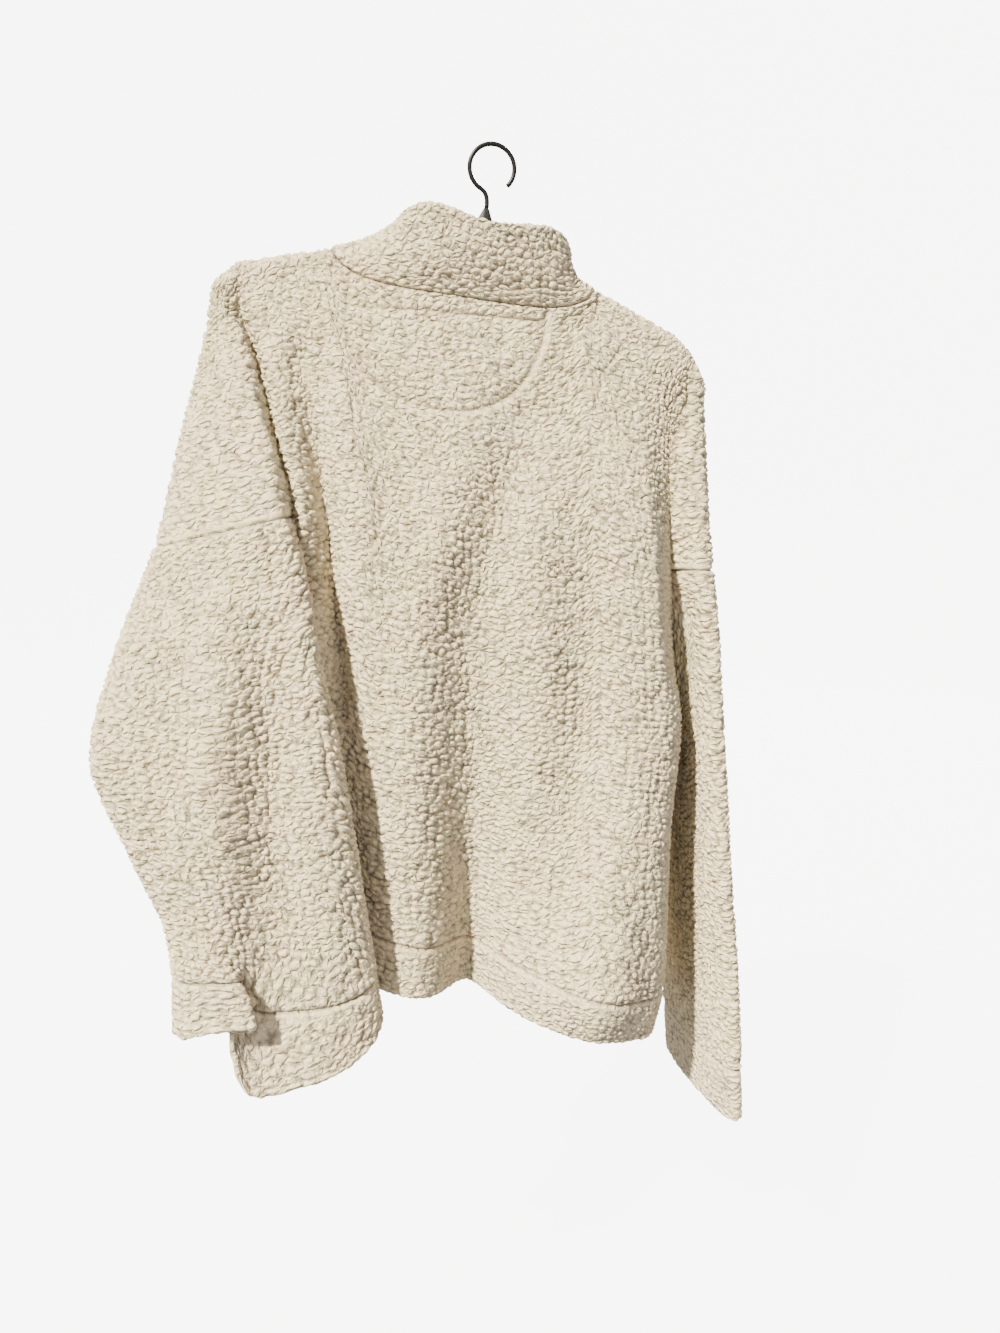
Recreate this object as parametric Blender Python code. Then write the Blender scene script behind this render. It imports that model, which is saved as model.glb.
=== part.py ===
"""A sherpa fleece pullover hanging on a plain black hanger.

The wearer's back faces -Y, the wearer's right sleeve is at +X and +Z is up. The origin is the
inner top of the hanger's hook. Sizes are in millimetres here and become metres in the meshes.

The cloth is one even wall. Its middle surface is worked out first: arms as rings between an
outer and an inner edge, the body as rows between two rails with folds on it, and the collar as
a ring that narrows upwards. The surface is then divided into the pieces that are cut and sewn,
each piece is drawn back from its seams by half a seam gap, and each gets its thickness.
"""

import math

import bpy
import numpy as np

MM = 0.001

# Driving dimensions
CLOTH = 4.0  # fleece with its pile pressed flat
SEAM_GAP = 0.3
TILT = math.radians(8.5)  # the hanger hangs lower at +X
HOOK_RADIUS = 20.0  # of the wire's centre line
WIRE = 4.0
HOOK_TIP = math.radians(-38)  # the wire's free end, from the level
NECK_TOP = -52.0  # top of the hanger's raised middle, below the inner top of the hook
HOOK_TO_ARMS = 92.0  # inner top of the hook to the top of the arms at the middle
ARM_HALF_LENGTH = 190.0
ARM_SLOPE = 0.32
ARM_STRAIGHT_FROM = 108.0  # the arms are straight outwards from here
ARM_TOP_THERE = -109.0
ARM_HEIGHT = 15.0
ARM_HALF_THICK = 5.0
REST_GAP = 0.5  # between the arms and the cloth that lies on them
NECK_LEFT = -131.0  # along the hanger
NECK_RIGHT = 108.0
WRAP = 9.0  # radius of the cloth's middle surface over the arms


def table(names, *rows):
    """A dict with one array for each named column."""
    columns = np.array(rows, float).T
    return dict(zip(names.split(), columns))


# Rings of the arms, down from the shoulder's end. The outer edge carries the shoulder seam and
# the inner edge faces the body. Near and far are how far the ring stands out of the line
# between its edges towards the back and towards the front, and lean is how much sideways.
RING = "out_x out_y out_z in_x in_y in_z near far lean"
LEFT_ARM = table(
    RING,
    (-250, -4, -158, -231, -9, -142, 9, 9, 0.0),
    (-260, -8, -198, -219, -24, -180, 13, 14, 0.0),
    (-274, -15, -249, -204, -45, -246, 17, 22, 0.0),
    (-298, -36, -347, -187, -68, -322, 21, 30, 0.0),
    (-317, -56, -400, -170, -82, -390, 23, 28, 0.0),
    (-332, -76, -447, -164, -90, -440, 24, 26, 0.0),
    (-346, -98, -514, -151, -98, -510, 25, 24, 0.0),
    (-316, -112, -596, -138, -102, -602, 26, 22, 0.0),
    (-290, -120, -658, -129, -105, -676, 27, 20, 0.0),
    (-286, -126, -694, -123, -106, -718, 28, 19, 0.0),
    (-287, -130, -740, -118, -106, -758, 28, 18, 0.0),
)
RIGHT_ARM = table(
    RING,
    (194, 0, -214, 176, -5, -206, 10, 12, 0.10),
    (195, 1, -264, 172, -7, -262, 22, 26, 0.10),
    (197, 1, -322, 171, -8, -320, 31, 38, 0.10),
    (200, 1, -372, 174, -6, -372, 38, 48, 0.12),
    (202, 0, -424, 182, -4, -430, 46, 58, 0.12),
    (205, -2, -500, 187, -4, -505, 54, 66, 0.12),
    (208, -4, -580, 190, -4, -584, 62, 70, 0.13),
    (211, -6, -660, 192, -6, -662, 70, 72, 0.13),
    (215, -8, -740, 196, -8, -742, 76, 72, 0.14),
    (218, -10, -800, 199, -10, -802, 78, 70, 0.14),
    (220, -10, -848, 201, -10, -852, 80, 68, 0.14),
    (223, -10, -896, 204, -10, -904, 80, 66, 0.14),
)
LEFT_DROP_ROW, LEFT_CUFF_ROW = 3, 9
RIGHT_DROP_ROW, RIGHT_CUFF_ROW = 3, 10

# Turns round each arm, in half circles from the outer edge over the back, at which the
# sleeve takes up the groove's end on the back, the underarm and the groove's end in front.
LEFT_TURNS = (1.0, 1.30, 1.45)
RIGHT_TURNS = (0.81, 1.0, 1.19)

# The body's two side rails below the hanger's ends. They are the bottoms of the grooves beside
# the arms, then the edge of the armhole, and below the underarm the side seam.
RAIL = "x y z"
LEFT_RAIL = table(
    RAIL,
    (-227, -6, -142),
    (-215, -16, -180),
    (-200, -30, -246),
    (-184, -40, -322),
    (-193, -14, -400),
    (-205, -3, -500),
    (-212, 0, -595),
    (-215, 0, -668),
    (-216, 0, -714),
)
RIGHT_RAIL = table(
    RAIL,
    (166, -8, -206),
    (161, -11, -262),
    (161, -12, -320),
    (163, -11, -372),
    (171, -4, -475),
    (174, -1, -525),
    (166, 0, -620),
    (162, 0, -774),
    (154, 0, -812),
)
RAIL_SHARES = (0.0, 0.07, 0.14, 0.27, 0.40, 0.52, 0.62, 0.77, 0.925, 1.0)
DROP_SHARE, UNDERARM_SHARE, HEM_SHARE = RAIL_SHARES[4], RAIL_SHARES[5], RAIL_SHARES[8]

FRONT_GROOVE_OUT = 10.0  # the left groove lies further out in front than behind

# How far the back and the front stand out behind and before the hanger's plane.
DEPTH = table(
    "share back front",
    (0.00, 0, 0),
    (0.05, 5, 4),
    (0.14, 18, 10),
    (0.30, 42, 22),
    (0.45, 56, 34),
    (0.60, 62, 44),
    (0.80, 66, 54),
    (1.00, 74, 62),
)

# Folds of the body. Each runs through three stations and is a soft wave across. A rise above
# nought stands out, one below it is a trough. Wide is the half width of the wave.
FOLD = "top_x top_z mid_x mid_z low_x low_z top_wide low_wide top_rise mid_rise low_rise"
BACK_FOLDS = table(
    FOLD,
    (-122, -290, -112, -520, -88, -745, 24, 30, 5, 11, 10),
    (-22, -250, -50, -440, -30, -760, 24, 27, -5, -15, -54),
    (22, -330, 30, -480, 16, -640, 22, 24, 5, 8, 0),
    (108, -270, 108, -500, 78, -745, 26, 56, 5, 14, 52),
    (70, -250, 72, -440, 64, -650, 16, 18, -4, -7, -4),
    (-152, -230, -146, -390, -134, -640, 14, 18, -5, -12, -8),
    (-192, -300, -188, -400, -180, -600, 20, 22, 0, -14, -6),
)
FRONT_FOLDS = table(
    FOLD,
    (-120, -300, -116, -520, -120, -760, 24, 36, 5, 12, 24),
    (-40, -260, -30, -500, -34, -760, 22, 34, -4, -10, -22),
    (60, -300, 56, -540, 60, -770, 26, 40, 5, 12, 26),
    (120, -320, 118, -520, 124, -770, 16, 22, -3, -7, -12),
)

# The collar's rings, seen along the hanger: both ends with their heights, how far the ring
# stands out to the back and the front, and how much it dips there below its ends.
COLLAR = table(
    "height left left_up right right_up back front back_dip front_dip rise",
    (0.00, -131, -113.4, 108, -106.0, 28, 30, 26, 54, 0),
    (0.35, -102, -101, 90, -101, 35, 42, 18, 44, 2),
    (0.70, -81, -87, 81, -90, 42, 52, 8, 34, 5),
    (1.00, -72, -77, 76, -79, 46, 56, -1, 22, 8),
)

# The pleat in the left cuff, in shares of the ring's back half
PLEAT_AT = 0.44
PLEAT_HALF = 0.055
PLEAT_LAP = 28.0
PLEAT_DEEP = 20.0
PLEAT_DROP = 62.0
PLEAT_LIFT = 12.0
PLEAT_FROM = 0.72  # share of the sleeve's length where the pleat starts

# The half-moon panel and the strip above it, seen along the hanger
MOON_MIDDLE = -24.0
MOON_HALF = 87.0
MOON_BOTTOM = -236.0
MOON_ROUND = 2.2
STRIP_LOW = (-160.0, -144.0)  # the strip's lower edge at its two ends

SIDE_WIDE = 0.085  # share of the body's width that each rounded side takes

# Grid sizes
ARM_AROUND = 13
SIDE_STEPS = 4
SHOULDER_STEPS = 3
NECK_STEPS = 16
ROWS_TO_DROP = 12
ROWS_TO_UNDERARM = 3
ROWS_TO_HEM = 9
HEM_ROWS = 2
SLEEVE_ROWS = 12
CUFF_ROWS = 4
COLLAR_ROWS = 5
ROW_CROWDING = 2.1  # rows lie close together where the cloth bends over the arms


def smooth(at):
    """0 below 0, 1 above 1, with a soft step between."""
    at = np.clip(at, 0.0, 1.0)
    return at * at * (3.0 - 2.0 * at)


def curve(at, knots, values):
    """A smooth line through the knots that never overshoots them."""
    knots, values = np.asarray(knots, float), np.asarray(values, float)
    slopes = np.diff(values) / np.diff(knots)
    inner = np.where(slopes[1:] * slopes[:-1] > 0, 2 * slopes[1:] * slopes[:-1], 0.0)
    total = slopes[1:] + slopes[:-1]
    inner = inner / np.where(np.abs(total) < 1e-9, 1.0, total)
    tangents = np.concatenate([[slopes[0]], inner, [slopes[-1]]])
    at = np.clip(at, knots[0], knots[-1])
    k = np.clip(np.searchsorted(knots, at, side="right") - 1, 0, len(knots) - 2)
    wide = knots[k + 1] - knots[k]
    s = (at - knots[k]) / wide
    return (
        values[k] * (1 + 2 * s) * (1 - s) ** 2
        + tangents[k] * wide * s * (1 - s) ** 2
        + values[k + 1] * s * s * (3 - 2 * s)
        + tangents[k + 1] * wide * s * s * (s - 1)
    )


def tilted(along, y, up):
    """World points from the hanger's own axes, whose origin is the hook's inner top."""
    x = along * math.cos(TILT) + up * math.sin(TILT)
    z = -along * math.sin(TILT) + up * math.cos(TILT)
    return np.stack([x, y + 0.0 * x, z], axis=-1)


def arm_top(along):
    """Height of the top of the hanger's arms, straight outside and a soft peak inside."""
    away = np.abs(along)
    outside = ARM_TOP_THERE - ARM_SLOPE * (away - ARM_STRAIGHT_FROM)
    peak = -HOOK_TO_ARMS + (ARM_TOP_THERE + HOOK_TO_ARMS) * (away / ARM_STRAIGHT_FROM) ** 1.6
    return np.where(away > ARM_STRAIGHT_FROM, outside, peak)


def shoulder_line(along):
    """The cloth's middle surface on top of the arms, which falls off beyond their ends."""
    left = np.maximum(-along - 200.0, 0.0) / 31.0
    right = np.maximum(along - 182.0, 0.0) / 42.0
    return arm_top(along) + REST_GAP + CLOTH / 2 - 28.0 * (left**3.0 + right**2.2)


SHOULDER_END = 224.0  # along the hanger, where the outer edge of each arm starts
GROOVE_START = 206.0  # and where each groove beside the arm starts


def arm_rows(arm, end, groove):
    """The arm's table with the shoulder's end as its first row, which lies flat."""
    rows = {name: column.copy() for name, column in arm.items()}
    start = {"out_x": end[0], "out_y": end[1], "out_z": end[2]}
    start.update({"in_x": groove[0], "in_y": groove[1], "in_z": groove[2]})
    start.update({"near": WRAP, "far": WRAP, "lean": 0.0})
    return {name: np.concatenate([[start[name]], rows[name]]) for name in rows}


def ring_points(rows, level, turn, square=2.4):
    """Points on an arm. The turn runs from the outer edge over the back to the inner edge
    at pi and over the front back to the outer edge. Above level 1 the ring opens inwards,
    so that the top of the shoulder runs on into the body.
    """
    knots = np.arange(len(rows["near"]), dtype=float)
    value = {name: curve(level, knots, rows[name]) for name in rows}
    c, s = np.cos(turn), np.sin(turn)
    across = np.sign(c) * np.abs(c) ** (2 / square)
    out = np.abs(s) ** (2 / square)
    opened = (1 - smooth(level / 1.2)) * (c < 0)
    out = out + (1 - out) * opened
    over = 1 - np.minimum(level / 0.3, 1)
    out = out * np.sqrt(1 - over**2)
    half = [(value["out_" + k] - value["in_" + k]) / 2 for k in "xyz"]
    middle = [(value["out_" + k] + value["in_" + k]) / 2 for k in "xyz"]
    stand = np.where(s < 0, -value["far"], value["near"]) * out
    x = middle[0] + half[0] * across + value["lean"] * stand
    y = middle[1] + half[1] * across - stand
    z = middle[2] + half[2] * across
    return np.stack([x, y, z], axis=-1)


def rail_line(rail, start):
    """Knots of a body rail from its start on the shoulder line."""
    return {k: np.concatenate([[start[i]], rail[k]]) for i, k in enumerate("xyz")}


def on_rail(rail, share):
    """Points of a rail at shares of the way from the shoulder line to the hem's edge."""
    return np.stack([curve(share, RAIL_SHARES, rail[k]) for k in "xyz"], axis=-1)


def fold_height(folds, x, z):
    """Sum of the folds' waves at places on the panel."""
    total = np.zeros(np.broadcast(x, z).shape)
    for i in range(len(folds["top_x"])):
        f = {name: column[i] for name, column in folds.items()}
        stations = np.array([f["low_z"], f["mid_z"], f["top_z"]])
        centre = curve(z, stations, [f["low_x"], f["mid_x"], f["top_x"]])
        wide = curve(z, stations[[0, 2]], [f["low_wide"], f["top_wide"]])
        rise = curve(z, stations, [f["low_rise"], f["mid_rise"], f["top_rise"]])
        rise = rise * smooth(1.0 - (z - f["top_z"]) / 70.0)
        rise = rise * smooth(1.0 + (z - f["low_z"]) / 115.0)
        total = total + rise * np.exp(-(((x - centre) / wide) ** 2))
    return total


def column_shares():
    """Places of the body's columns from one rail to the other, and which bound the neck."""
    side = SIDE_WIDE * (1 - np.cos(np.linspace(0, math.pi / 2, SIDE_STEPS + 1)))
    neck = [(NECK_LEFT + GROOVE_START) / (2 * GROOVE_START)]
    neck.append((NECK_RIGHT + GROOVE_START) / (2 * GROOVE_START))
    turn = np.linspace(0, math.pi, NECK_STEPS + 1)
    even = np.linspace(0, 1, NECK_STEPS + 1)
    within = 0.8 * (1 - np.cos(turn)) / 2 + 0.2 * even
    left = np.linspace(side[-1], neck[0], SHOULDER_STEPS + 1)
    right = np.linspace(neck[1], 1 - side[-1], SHOULDER_STEPS + 1)
    middle = neck[0] + (neck[1] - neck[0]) * within
    shares = np.concatenate([side, left[1:], middle[1:], right[1:], 1 - side[-2::-1]])
    first = SIDE_STEPS + SHOULDER_STEPS
    return shares, first, first + NECK_STEPS


def row_shares():
    """Places of the body's rows, close together where the cloth bends over the arms."""
    down = (np.linspace(0, 1, ROWS_TO_DROP + 1) ** ROW_CROWDING) * DROP_SHARE
    under = np.linspace(DROP_SHARE, UNDERARM_SHARE, ROWS_TO_UNDERARM + 1)
    hem = np.linspace(UNDERARM_SHARE, HEM_SHARE, ROWS_TO_HEM + 1)
    band = np.linspace(HEM_SHARE, 1.0, HEM_ROWS + 1)
    return np.concatenate([down, under[1:], hem[1:], band[1:]])


def neck_edge(columns, first, last, front):
    """Where the body's columns start: on the arms, and along the collar's seam between."""
    along = -GROOVE_START + 2 * GROOVE_START * columns
    up = shoulder_line(along)
    y = np.zeros(len(columns))
    inside = slice(first, last + 1)
    ring = collar_ring(0.0, along[inside], front)
    y[inside] = ring[1]
    up[inside] = ring[2]
    return tilted(along, y, up)


def collar_ring(height, along, front):
    """A ring of the collar at a share of its height, at places along the base ring."""
    value = {name: curve(height, COLLAR["height"], column) for name, column in COLLAR.items()}
    cosine = 2 * (along - NECK_LEFT) / (NECK_RIGHT - NECK_LEFT) - 1
    cosine = np.clip(cosine, -1.0, 1.0)
    sine = np.sqrt(1 - cosine**2)
    share = (1 + cosine) / 2
    place = (1 - share) * value["left"] + share * value["right"]
    depth = value["front"] if front else -value["back"]
    dip = value["front_dip"] if front else value["back_dip"]
    up = (1 - share) * value["left_up"] + share * value["right_up"]
    out = sine**0.8
    up = up - dip * smooth((out - 0.25) / 0.75) + value["rise"] * 4 * (cosine * sine) ** 2
    return place, depth * out, up


def body_side(front, rails):
    """The body's middle surface on one side, as rows of points from shoulder to hem."""
    columns, first, last = column_shares()
    rows = row_shares()
    top = neck_edge(columns, first, last, front)
    left, right = on_rail(rails[0], rows), on_rail(rails[1], rows)
    c = columns[None, :, None]
    ruled = (1 - c) * left[:, None] + c * right[:, None]
    start = (1 - c[0]) * left[0] + c[0] * right[0]
    keep = smooth(1 - rows / DROP_SHARE)[:, None, None]
    length = 1 - rows[:, None]
    points = ruled.copy()
    points[..., 2] += (top[None, :, 2] - start[None, :, 2]) * length
    points[..., 0] += ((top - start)[None, :, 0:1] * keep)[..., 0]
    neck = top[:, 1] - start[:, 1]
    hump = np.sin(math.pi * columns) ** 2 * neck[np.argmax(np.abs(neck))]
    low = smooth(rows[:, None] / 0.13)
    lean = ((1 - low) * neck[None] + low * hump[None]) * np.exp(-rows[:, None] / 0.35)
    edge = np.minimum(columns, 1 - columns)
    inward = np.minimum(edge / SIDE_WIDE, 1.0)
    round_side = np.sqrt(1 - (1 - inward) ** 2)
    above_underarm = smooth((UNDERARM_SHARE + 0.08 - rows[:, None]) / 0.16)
    turn = above_underarm * inward[None] + (1 - above_underarm) * round_side[None]
    sign = 1.0 if front else -1.0
    depth = curve(rows, DEPTH["share"], DEPTH["front" if front else "back"])[:, None]
    fallen = (top[None, :, 2] - points[..., 2]).clip(0)
    wrap = np.sqrt(np.maximum(1 - (1 - np.minimum(fallen / WRAP, 1)) ** 2, 0)) * WRAP
    wrap = wrap * (low + (1 - low) * (1 - np.minimum(np.abs(top[:, 1]) / 14.0, 1))[None])
    folds = fold_height(FRONT_FOLDS if front else BACK_FOLDS, points[..., 0], points[..., 2])
    above = smooth((UNDERARM_SHARE - rows[:, None]) / (UNDERARM_SHARE - DROP_SHARE))
    stand = (depth + folds) * turn + wrap * (above + (1 - above) * turn)
    base = points[..., 1] * (1 - 0.6 * above if front else 1)
    if front:
        lower = smooth(rows[:, None] / 0.12)
        points[..., 0] -= FRONT_GROOVE_OUT * above * lower * (1 - columns[None]) ** 12
    points[..., 1] = base * (1 - turn) + lean + sign * stand
    return points


def upper_arm(rows, front, groove, drop_row, turns):
    """The part of a panel that hangs off the hanger's end, from its outer edge to the groove."""
    count = ROWS_TO_DROP + 1
    level = (np.linspace(0, 1, count) ** ROW_CROWDING)[:, None] * (drop_row + 1)
    low = smooth(level / 1.5)
    reach = low * (2 - turns[2] if front else turns[0]) + (1 - low)
    turn = np.linspace(0, math.pi, ARM_AROUND + 1)[None, :-1] * reach
    points = ring_points(rows, level, -turn - 1e-9 if front else turn)
    return np.concatenate([points, groove[:count, None]], axis=1)


def sleeve_turns(turns, grown):
    """The turn of each column: taken up from the armhole, then even or crowded at the pleat."""
    arm = np.linspace(0, turns[0], ARM_AROUND + 1)
    under = np.linspace(turns[0], turns[1], ROWS_TO_UNDERARM + 1)[1:]
    fore = np.linspace(turns[1], turns[2], ROWS_TO_UNDERARM + 1)[1:]
    rest = np.linspace(turns[2], 2, ARM_AROUND + 1)[1:-1]
    start = np.concatenate([arm, under, fore, rest])
    half = ARM_AROUND + ROWS_TO_UNDERARM
    outside = np.linspace(0, 1, 5)[:-1] * (PLEAT_AT - 2.4 * PLEAT_HALF)
    crowd = PLEAT_AT + PLEAT_HALF * np.array([-2.4, -1.6, -1, -0.5, 0, 0.5, 1, 1.6, 2.4])
    inside = np.linspace(crowd[-1], 1, half + 1 - len(outside) - len(crowd) + 1)[1:]
    crowded = np.concatenate([outside, crowd, inside, np.linspace(1, 2, half + 1)[1:-1]])
    return (1 - grown) * start + grown * crowded


def pleat(points, share, grown):
    """Laps the ring's back half over itself at the pleat and lets the inner part hang lower."""
    x = (share - PLEAT_AT) / PLEAT_HALF
    points[..., 0] -= PLEAT_LAP * x * np.exp((1 - x**2) / 2) * grown
    step = np.sin(np.clip(x / 1.9, -1, 1) * math.pi / 2)
    step = step * (1 - smooth((np.abs(x) - 2) / 5)) * smooth(grown * 2.2)
    points[..., 1] += PLEAT_DEEP * step
    inside = smooth((x + 1.6) / 3.2)
    drop = PLEAT_DROP * inside * np.clip((1 - share) / (1 - PLEAT_AT), 0, 1) ** 1.25
    lift = PLEAT_LIFT * (1 - inside) * smooth(1 - np.abs(x + 1) / 4)
    points[..., 2] += (lift - drop) * grown
    return points


def sleeve(rows, opening, turns, levels, pleated):
    """A tube whose first ring is the armhole and whose other rings follow the arm's table."""
    level = levels[:, None]
    gone = (level - levels[0]) / (levels[-1] - levels[0])
    grown = smooth((gone - PLEAT_FROM) / (1 - PLEAT_FROM)) * (1 if pleated else 0)
    turn = sleeve_turns(turns, smooth(gone / PLEAT_FROM) if pleated else 0 * gone)
    points = ring_points(rows, level, turn * math.pi)
    offset = opening - points[:1]
    points[..., :2] += offset[..., :2] * smooth(1 - gone / 0.1)[..., None]
    points[..., 2] += offset[..., 2] * smooth(1 - gone / 0.4)
    return pleat(points, np.where(turn > 1, 9.0, turn), grown * (turn <= 1))


class Cloth:
    """The cloth's middle surface, divided into named pieces of four-cornered faces."""

    def __init__(self):
        self.pieces = {}

    def add(self, piece, grid, closed=False, flip=False):
        """Adds rows of points to a piece; faces point out, or the other way with flip."""
        rows, columns = grid.shape[:2]
        last = columns if closed else columns - 1
        i, j = np.meshgrid(np.arange(rows - 1), np.arange(last), indexing="ij")
        a = i * columns + j
        b = i * columns + (j + 1) % columns
        faces = np.stack([a, a + columns, b + columns, b], axis=-1).reshape(-1, 4)
        faces = faces[:, ::-1] if flip else faces
        points, quads = self.pieces.setdefault(piece, ([], []))
        quads.append(faces + sum(len(p) for p in points))
        points.append(grid.reshape(-1, 3))

    def joined(self, piece):
        """A piece's points without doubles, and its faces."""
        points = np.concatenate(self.pieces[piece][0])
        quads = np.concatenate(self.pieces[piece][1])
        _, first, same = np.unique(
            np.round(points, 3), axis=0, return_index=True, return_inverse=True
        )
        quads = same.reshape(-1)[quads]
        return points[first], quads

    def normals(self):
        """A normal for each place of the whole surface, shared across the seams."""
        total = {}
        for piece in self.pieces:
            points, quads = self.joined(piece)
            a, b, c, d = (points[quads[:, k]] for k in range(4))
            face = np.cross(c - a, d - b)
            face /= np.linalg.norm(face, axis=1, keepdims=True)
            own = np.zeros_like(points)
            for corner in range(4):
                np.add.at(own, quads[:, corner], face)
            own /= np.linalg.norm(own, axis=1, keepdims=True)
            for key, normal in zip(map(tuple, np.round(points, 2) + 0.0), own):
                total[key] = total.get(key, 0.0) + normal
        return total

    def walls(self, thick, gap):
        """Points and faces of each piece as a closed wall, drawn back from its seams."""
        shared = self.normals()
        result = {}
        for piece in self.pieces:
            points, quads = self.joined(piece)
            normal = np.array([shared[tuple(p)] for p in np.round(points, 2) + 0.0])
            normal /= np.linalg.norm(normal, axis=1, keepdims=True)
            edges = np.concatenate([quads[:, [k, (k + 1) % 4]] for k in range(4)])
            ordered = np.sort(edges, axis=1)
            _, place, uses = np.unique(ordered, axis=0, return_inverse=True, return_counts=True)
            rim = edges[uses[place.reshape(-1)] == 1]
            along = points[rim[:, 1]] - points[rim[:, 0]]
            along /= np.linalg.norm(along, axis=1, keepdims=True)
            back = np.zeros_like(points)
            for end in range(2):
                inward = np.cross(normal[rim[:, end]], along)
                np.add.at(back, rim[:, end], inward)
            size = (back**2).sum(axis=1, keepdims=True)
            back = np.where(size > 0, 2 * back / np.maximum(size, 0.5), 0.0)
            middle = points + back * gap * 0.65
            outer, inner = middle + normal * thick / 2, middle - normal * thick / 2
            count = len(points)
            weight = np.round(points, 2) @ (1.0, 0.731, 0.517)
            a, b = rim[:, 0], rim[:, 1]
            first = (weight[a] < weight[b])[:, None]
            one = np.where(first, np.stack([b, a, b + count], 1), np.stack([b, a, a + count], 1))
            two = np.where(
                first,
                np.stack([a, a + count, b + count], 1),
                np.stack([b, a + count, b + count], 1),
            )
            faces = quads.tolist() + (quads[:, ::-1] + count).tolist()
            faces += one.tolist() + two.tolist()
            result[piece] = (np.concatenate([outer, inner]), faces)
        return result


def build_cloth():
    """The whole middle surface, piece by piece."""
    cloth = Cloth()
    ends = {}
    for side, along in (("left", -1), ("right", 1)):
        end = tilted(along * SHOULDER_END, 0.0, shoulder_line(along * SHOULDER_END))
        groove = tilted(along * GROOVE_START, 0.0, shoulder_line(along * GROOVE_START))
        ends[side] = (end, groove)
    rails = (rail_line(LEFT_RAIL, ends["left"][1]), rail_line(RIGHT_RAIL, ends["right"][1]))
    arms = {
        "left": arm_rows(LEFT_ARM, *ends["left"]),
        "right": arm_rows(RIGHT_ARM, *ends["right"]),
    }
    drop_rows = {"left": LEFT_DROP_ROW, "right": RIGHT_DROP_ROW}
    cuff_rows = {"left": LEFT_CUFF_ROW, "right": RIGHT_CUFF_ROW}
    sides = {front: body_side(front, rails) for front in (False, True)}
    hem_row = ROWS_TO_DROP + ROWS_TO_UNDERARM + ROWS_TO_HEM
    for front, name in ((False, "back_panel"), (True, "front_panel")):
        cloth.add(name, sides[front][: hem_row + 1], flip=front)
    band = np.concatenate([sides[False][hem_row:], sides[True][hem_row:, -2:0:-1]], axis=1)
    cloth.add("hem_band", band, closed=True)
    for side in ("left", "right"):
        column = 0 if side == "left" else -1
        turns = LEFT_TURNS if side == "left" else RIGHT_TURNS
        halves = {}
        for front, name in ((False, "back_panel"), (True, "front_panel")):
            groove = sides[front][:, column]
            halves[front] = upper_arm(arms[side], front, groove, drop_rows[side], turns)
            mirrored = (side == "right") != front
            cloth.add(name, halves[front], flip=mirrored)
        below = slice(ROWS_TO_DROP + 1, ROWS_TO_DROP + ROWS_TO_UNDERARM + 1)
        back_edge, front_edge = sides[False][below, column], sides[True][below, column]
        opening = [halves[False][-1], back_edge, front_edge[-2::-1], halves[True][-1][::-1][:-1]]
        opening = np.concatenate(opening)
        first, last = drop_rows[side] + 1, len(arms[side]["near"]) - 1
        seam = cuff_rows[side] + 1
        levels = np.linspace(first, seam, SLEEVE_ROWS + 1)
        levels = np.concatenate([levels, np.linspace(seam, last, CUFF_ROWS + 1)[1:]])
        tube = sleeve(arms[side], opening, turns, levels, side == "left")
        flip = side == "right"
        cloth.add(side + "_sleeve", tube[: SLEEVE_ROWS + 1], closed=True, flip=flip)
        cloth.add(side + "_cuff", tube[SLEEVE_ROWS:], closed=True, flip=flip)
    columns, first, last = column_shares()
    along = -GROOVE_START + 2 * GROOVE_START * columns[first : last + 1]
    heights = np.linspace(0, 1, COLLAR_ROWS + 1)[::-1]
    rings = []
    for height in heights:
        back = tilted(*collar_ring(height, along, False))
        front = tilted(*collar_ring(height, along, True))
        rings.append(np.concatenate([back, front[-2:0:-1]]))
    cloth.add("collar", np.array(rings), closed=True)
    return cloth


def hanger_body():
    """Rings along the hanger: round-topped arms with a raised middle and rounded ends."""
    half = [0, 2.5, 4.5, 7, 10, 14, 20, 30, 48, 75, 108, 135, 160, 181, 186.5, 189.3]
    along = np.concatenate([-np.array(half)[:0:-1], half])
    away = np.abs(along)
    end = np.clip((away - (ARM_HALF_LENGTH - 9)) / 9, 0, 1)
    shrink = np.sqrt(1 - end**2)
    raised = NECK_TOP - 3.2 * np.maximum(away - 2.5, 0) ** 0.8
    top = np.maximum(arm_top(along), raised)
    low = arm_top(along) - ARM_HEIGHT
    middle, tall = (top + low) / 2, (top - low) / 2 * shrink
    tall = np.maximum(tall, 1.5)
    turn = np.linspace(0, 2 * math.pi, 17)[:-1]
    radius = np.minimum(ARM_HALF_THICK, tall) * np.maximum(shrink, 0.25)
    y = radius[:, None] * np.cos(turn)[None]
    up = (tall - radius)[:, None] * np.sign(np.round(np.sin(turn), 6))[None]
    up = middle[:, None] + up + radius[:, None] * np.sin(turn)[None]
    return tilted(np.broadcast_to(along[:, None], y.shape), y, up)


def hook_path():
    """The wire's centre line from the hanger's raised middle, round to its free end."""
    turn = np.linspace(math.radians(248), HOOK_TIP, 19)
    centre = WIRE / 2 - HOOK_RADIUS
    arc = np.stack([HOOK_RADIUS * np.cos(turn), centre + HOOK_RADIUS * np.sin(turn)], axis=1)
    low = np.array([0.0, NECK_TOP + SEAM_GAP])
    ease = np.linspace(0, 1, 8)[:-1, None]
    heading = np.array([math.sin(turn[0]), -math.cos(turn[0])]) * -1
    pulls = [low, low + (0, 9), arc[0] + heading * 5, arc[0]]
    weights = [(1 - ease) ** 3, 3 * ease * (1 - ease) ** 2, 3 * ease**2 * (1 - ease), ease**3]
    bend = sum(weight * pull for weight, pull in zip(weights, pulls))
    return np.concatenate([bend, arc])


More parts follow.
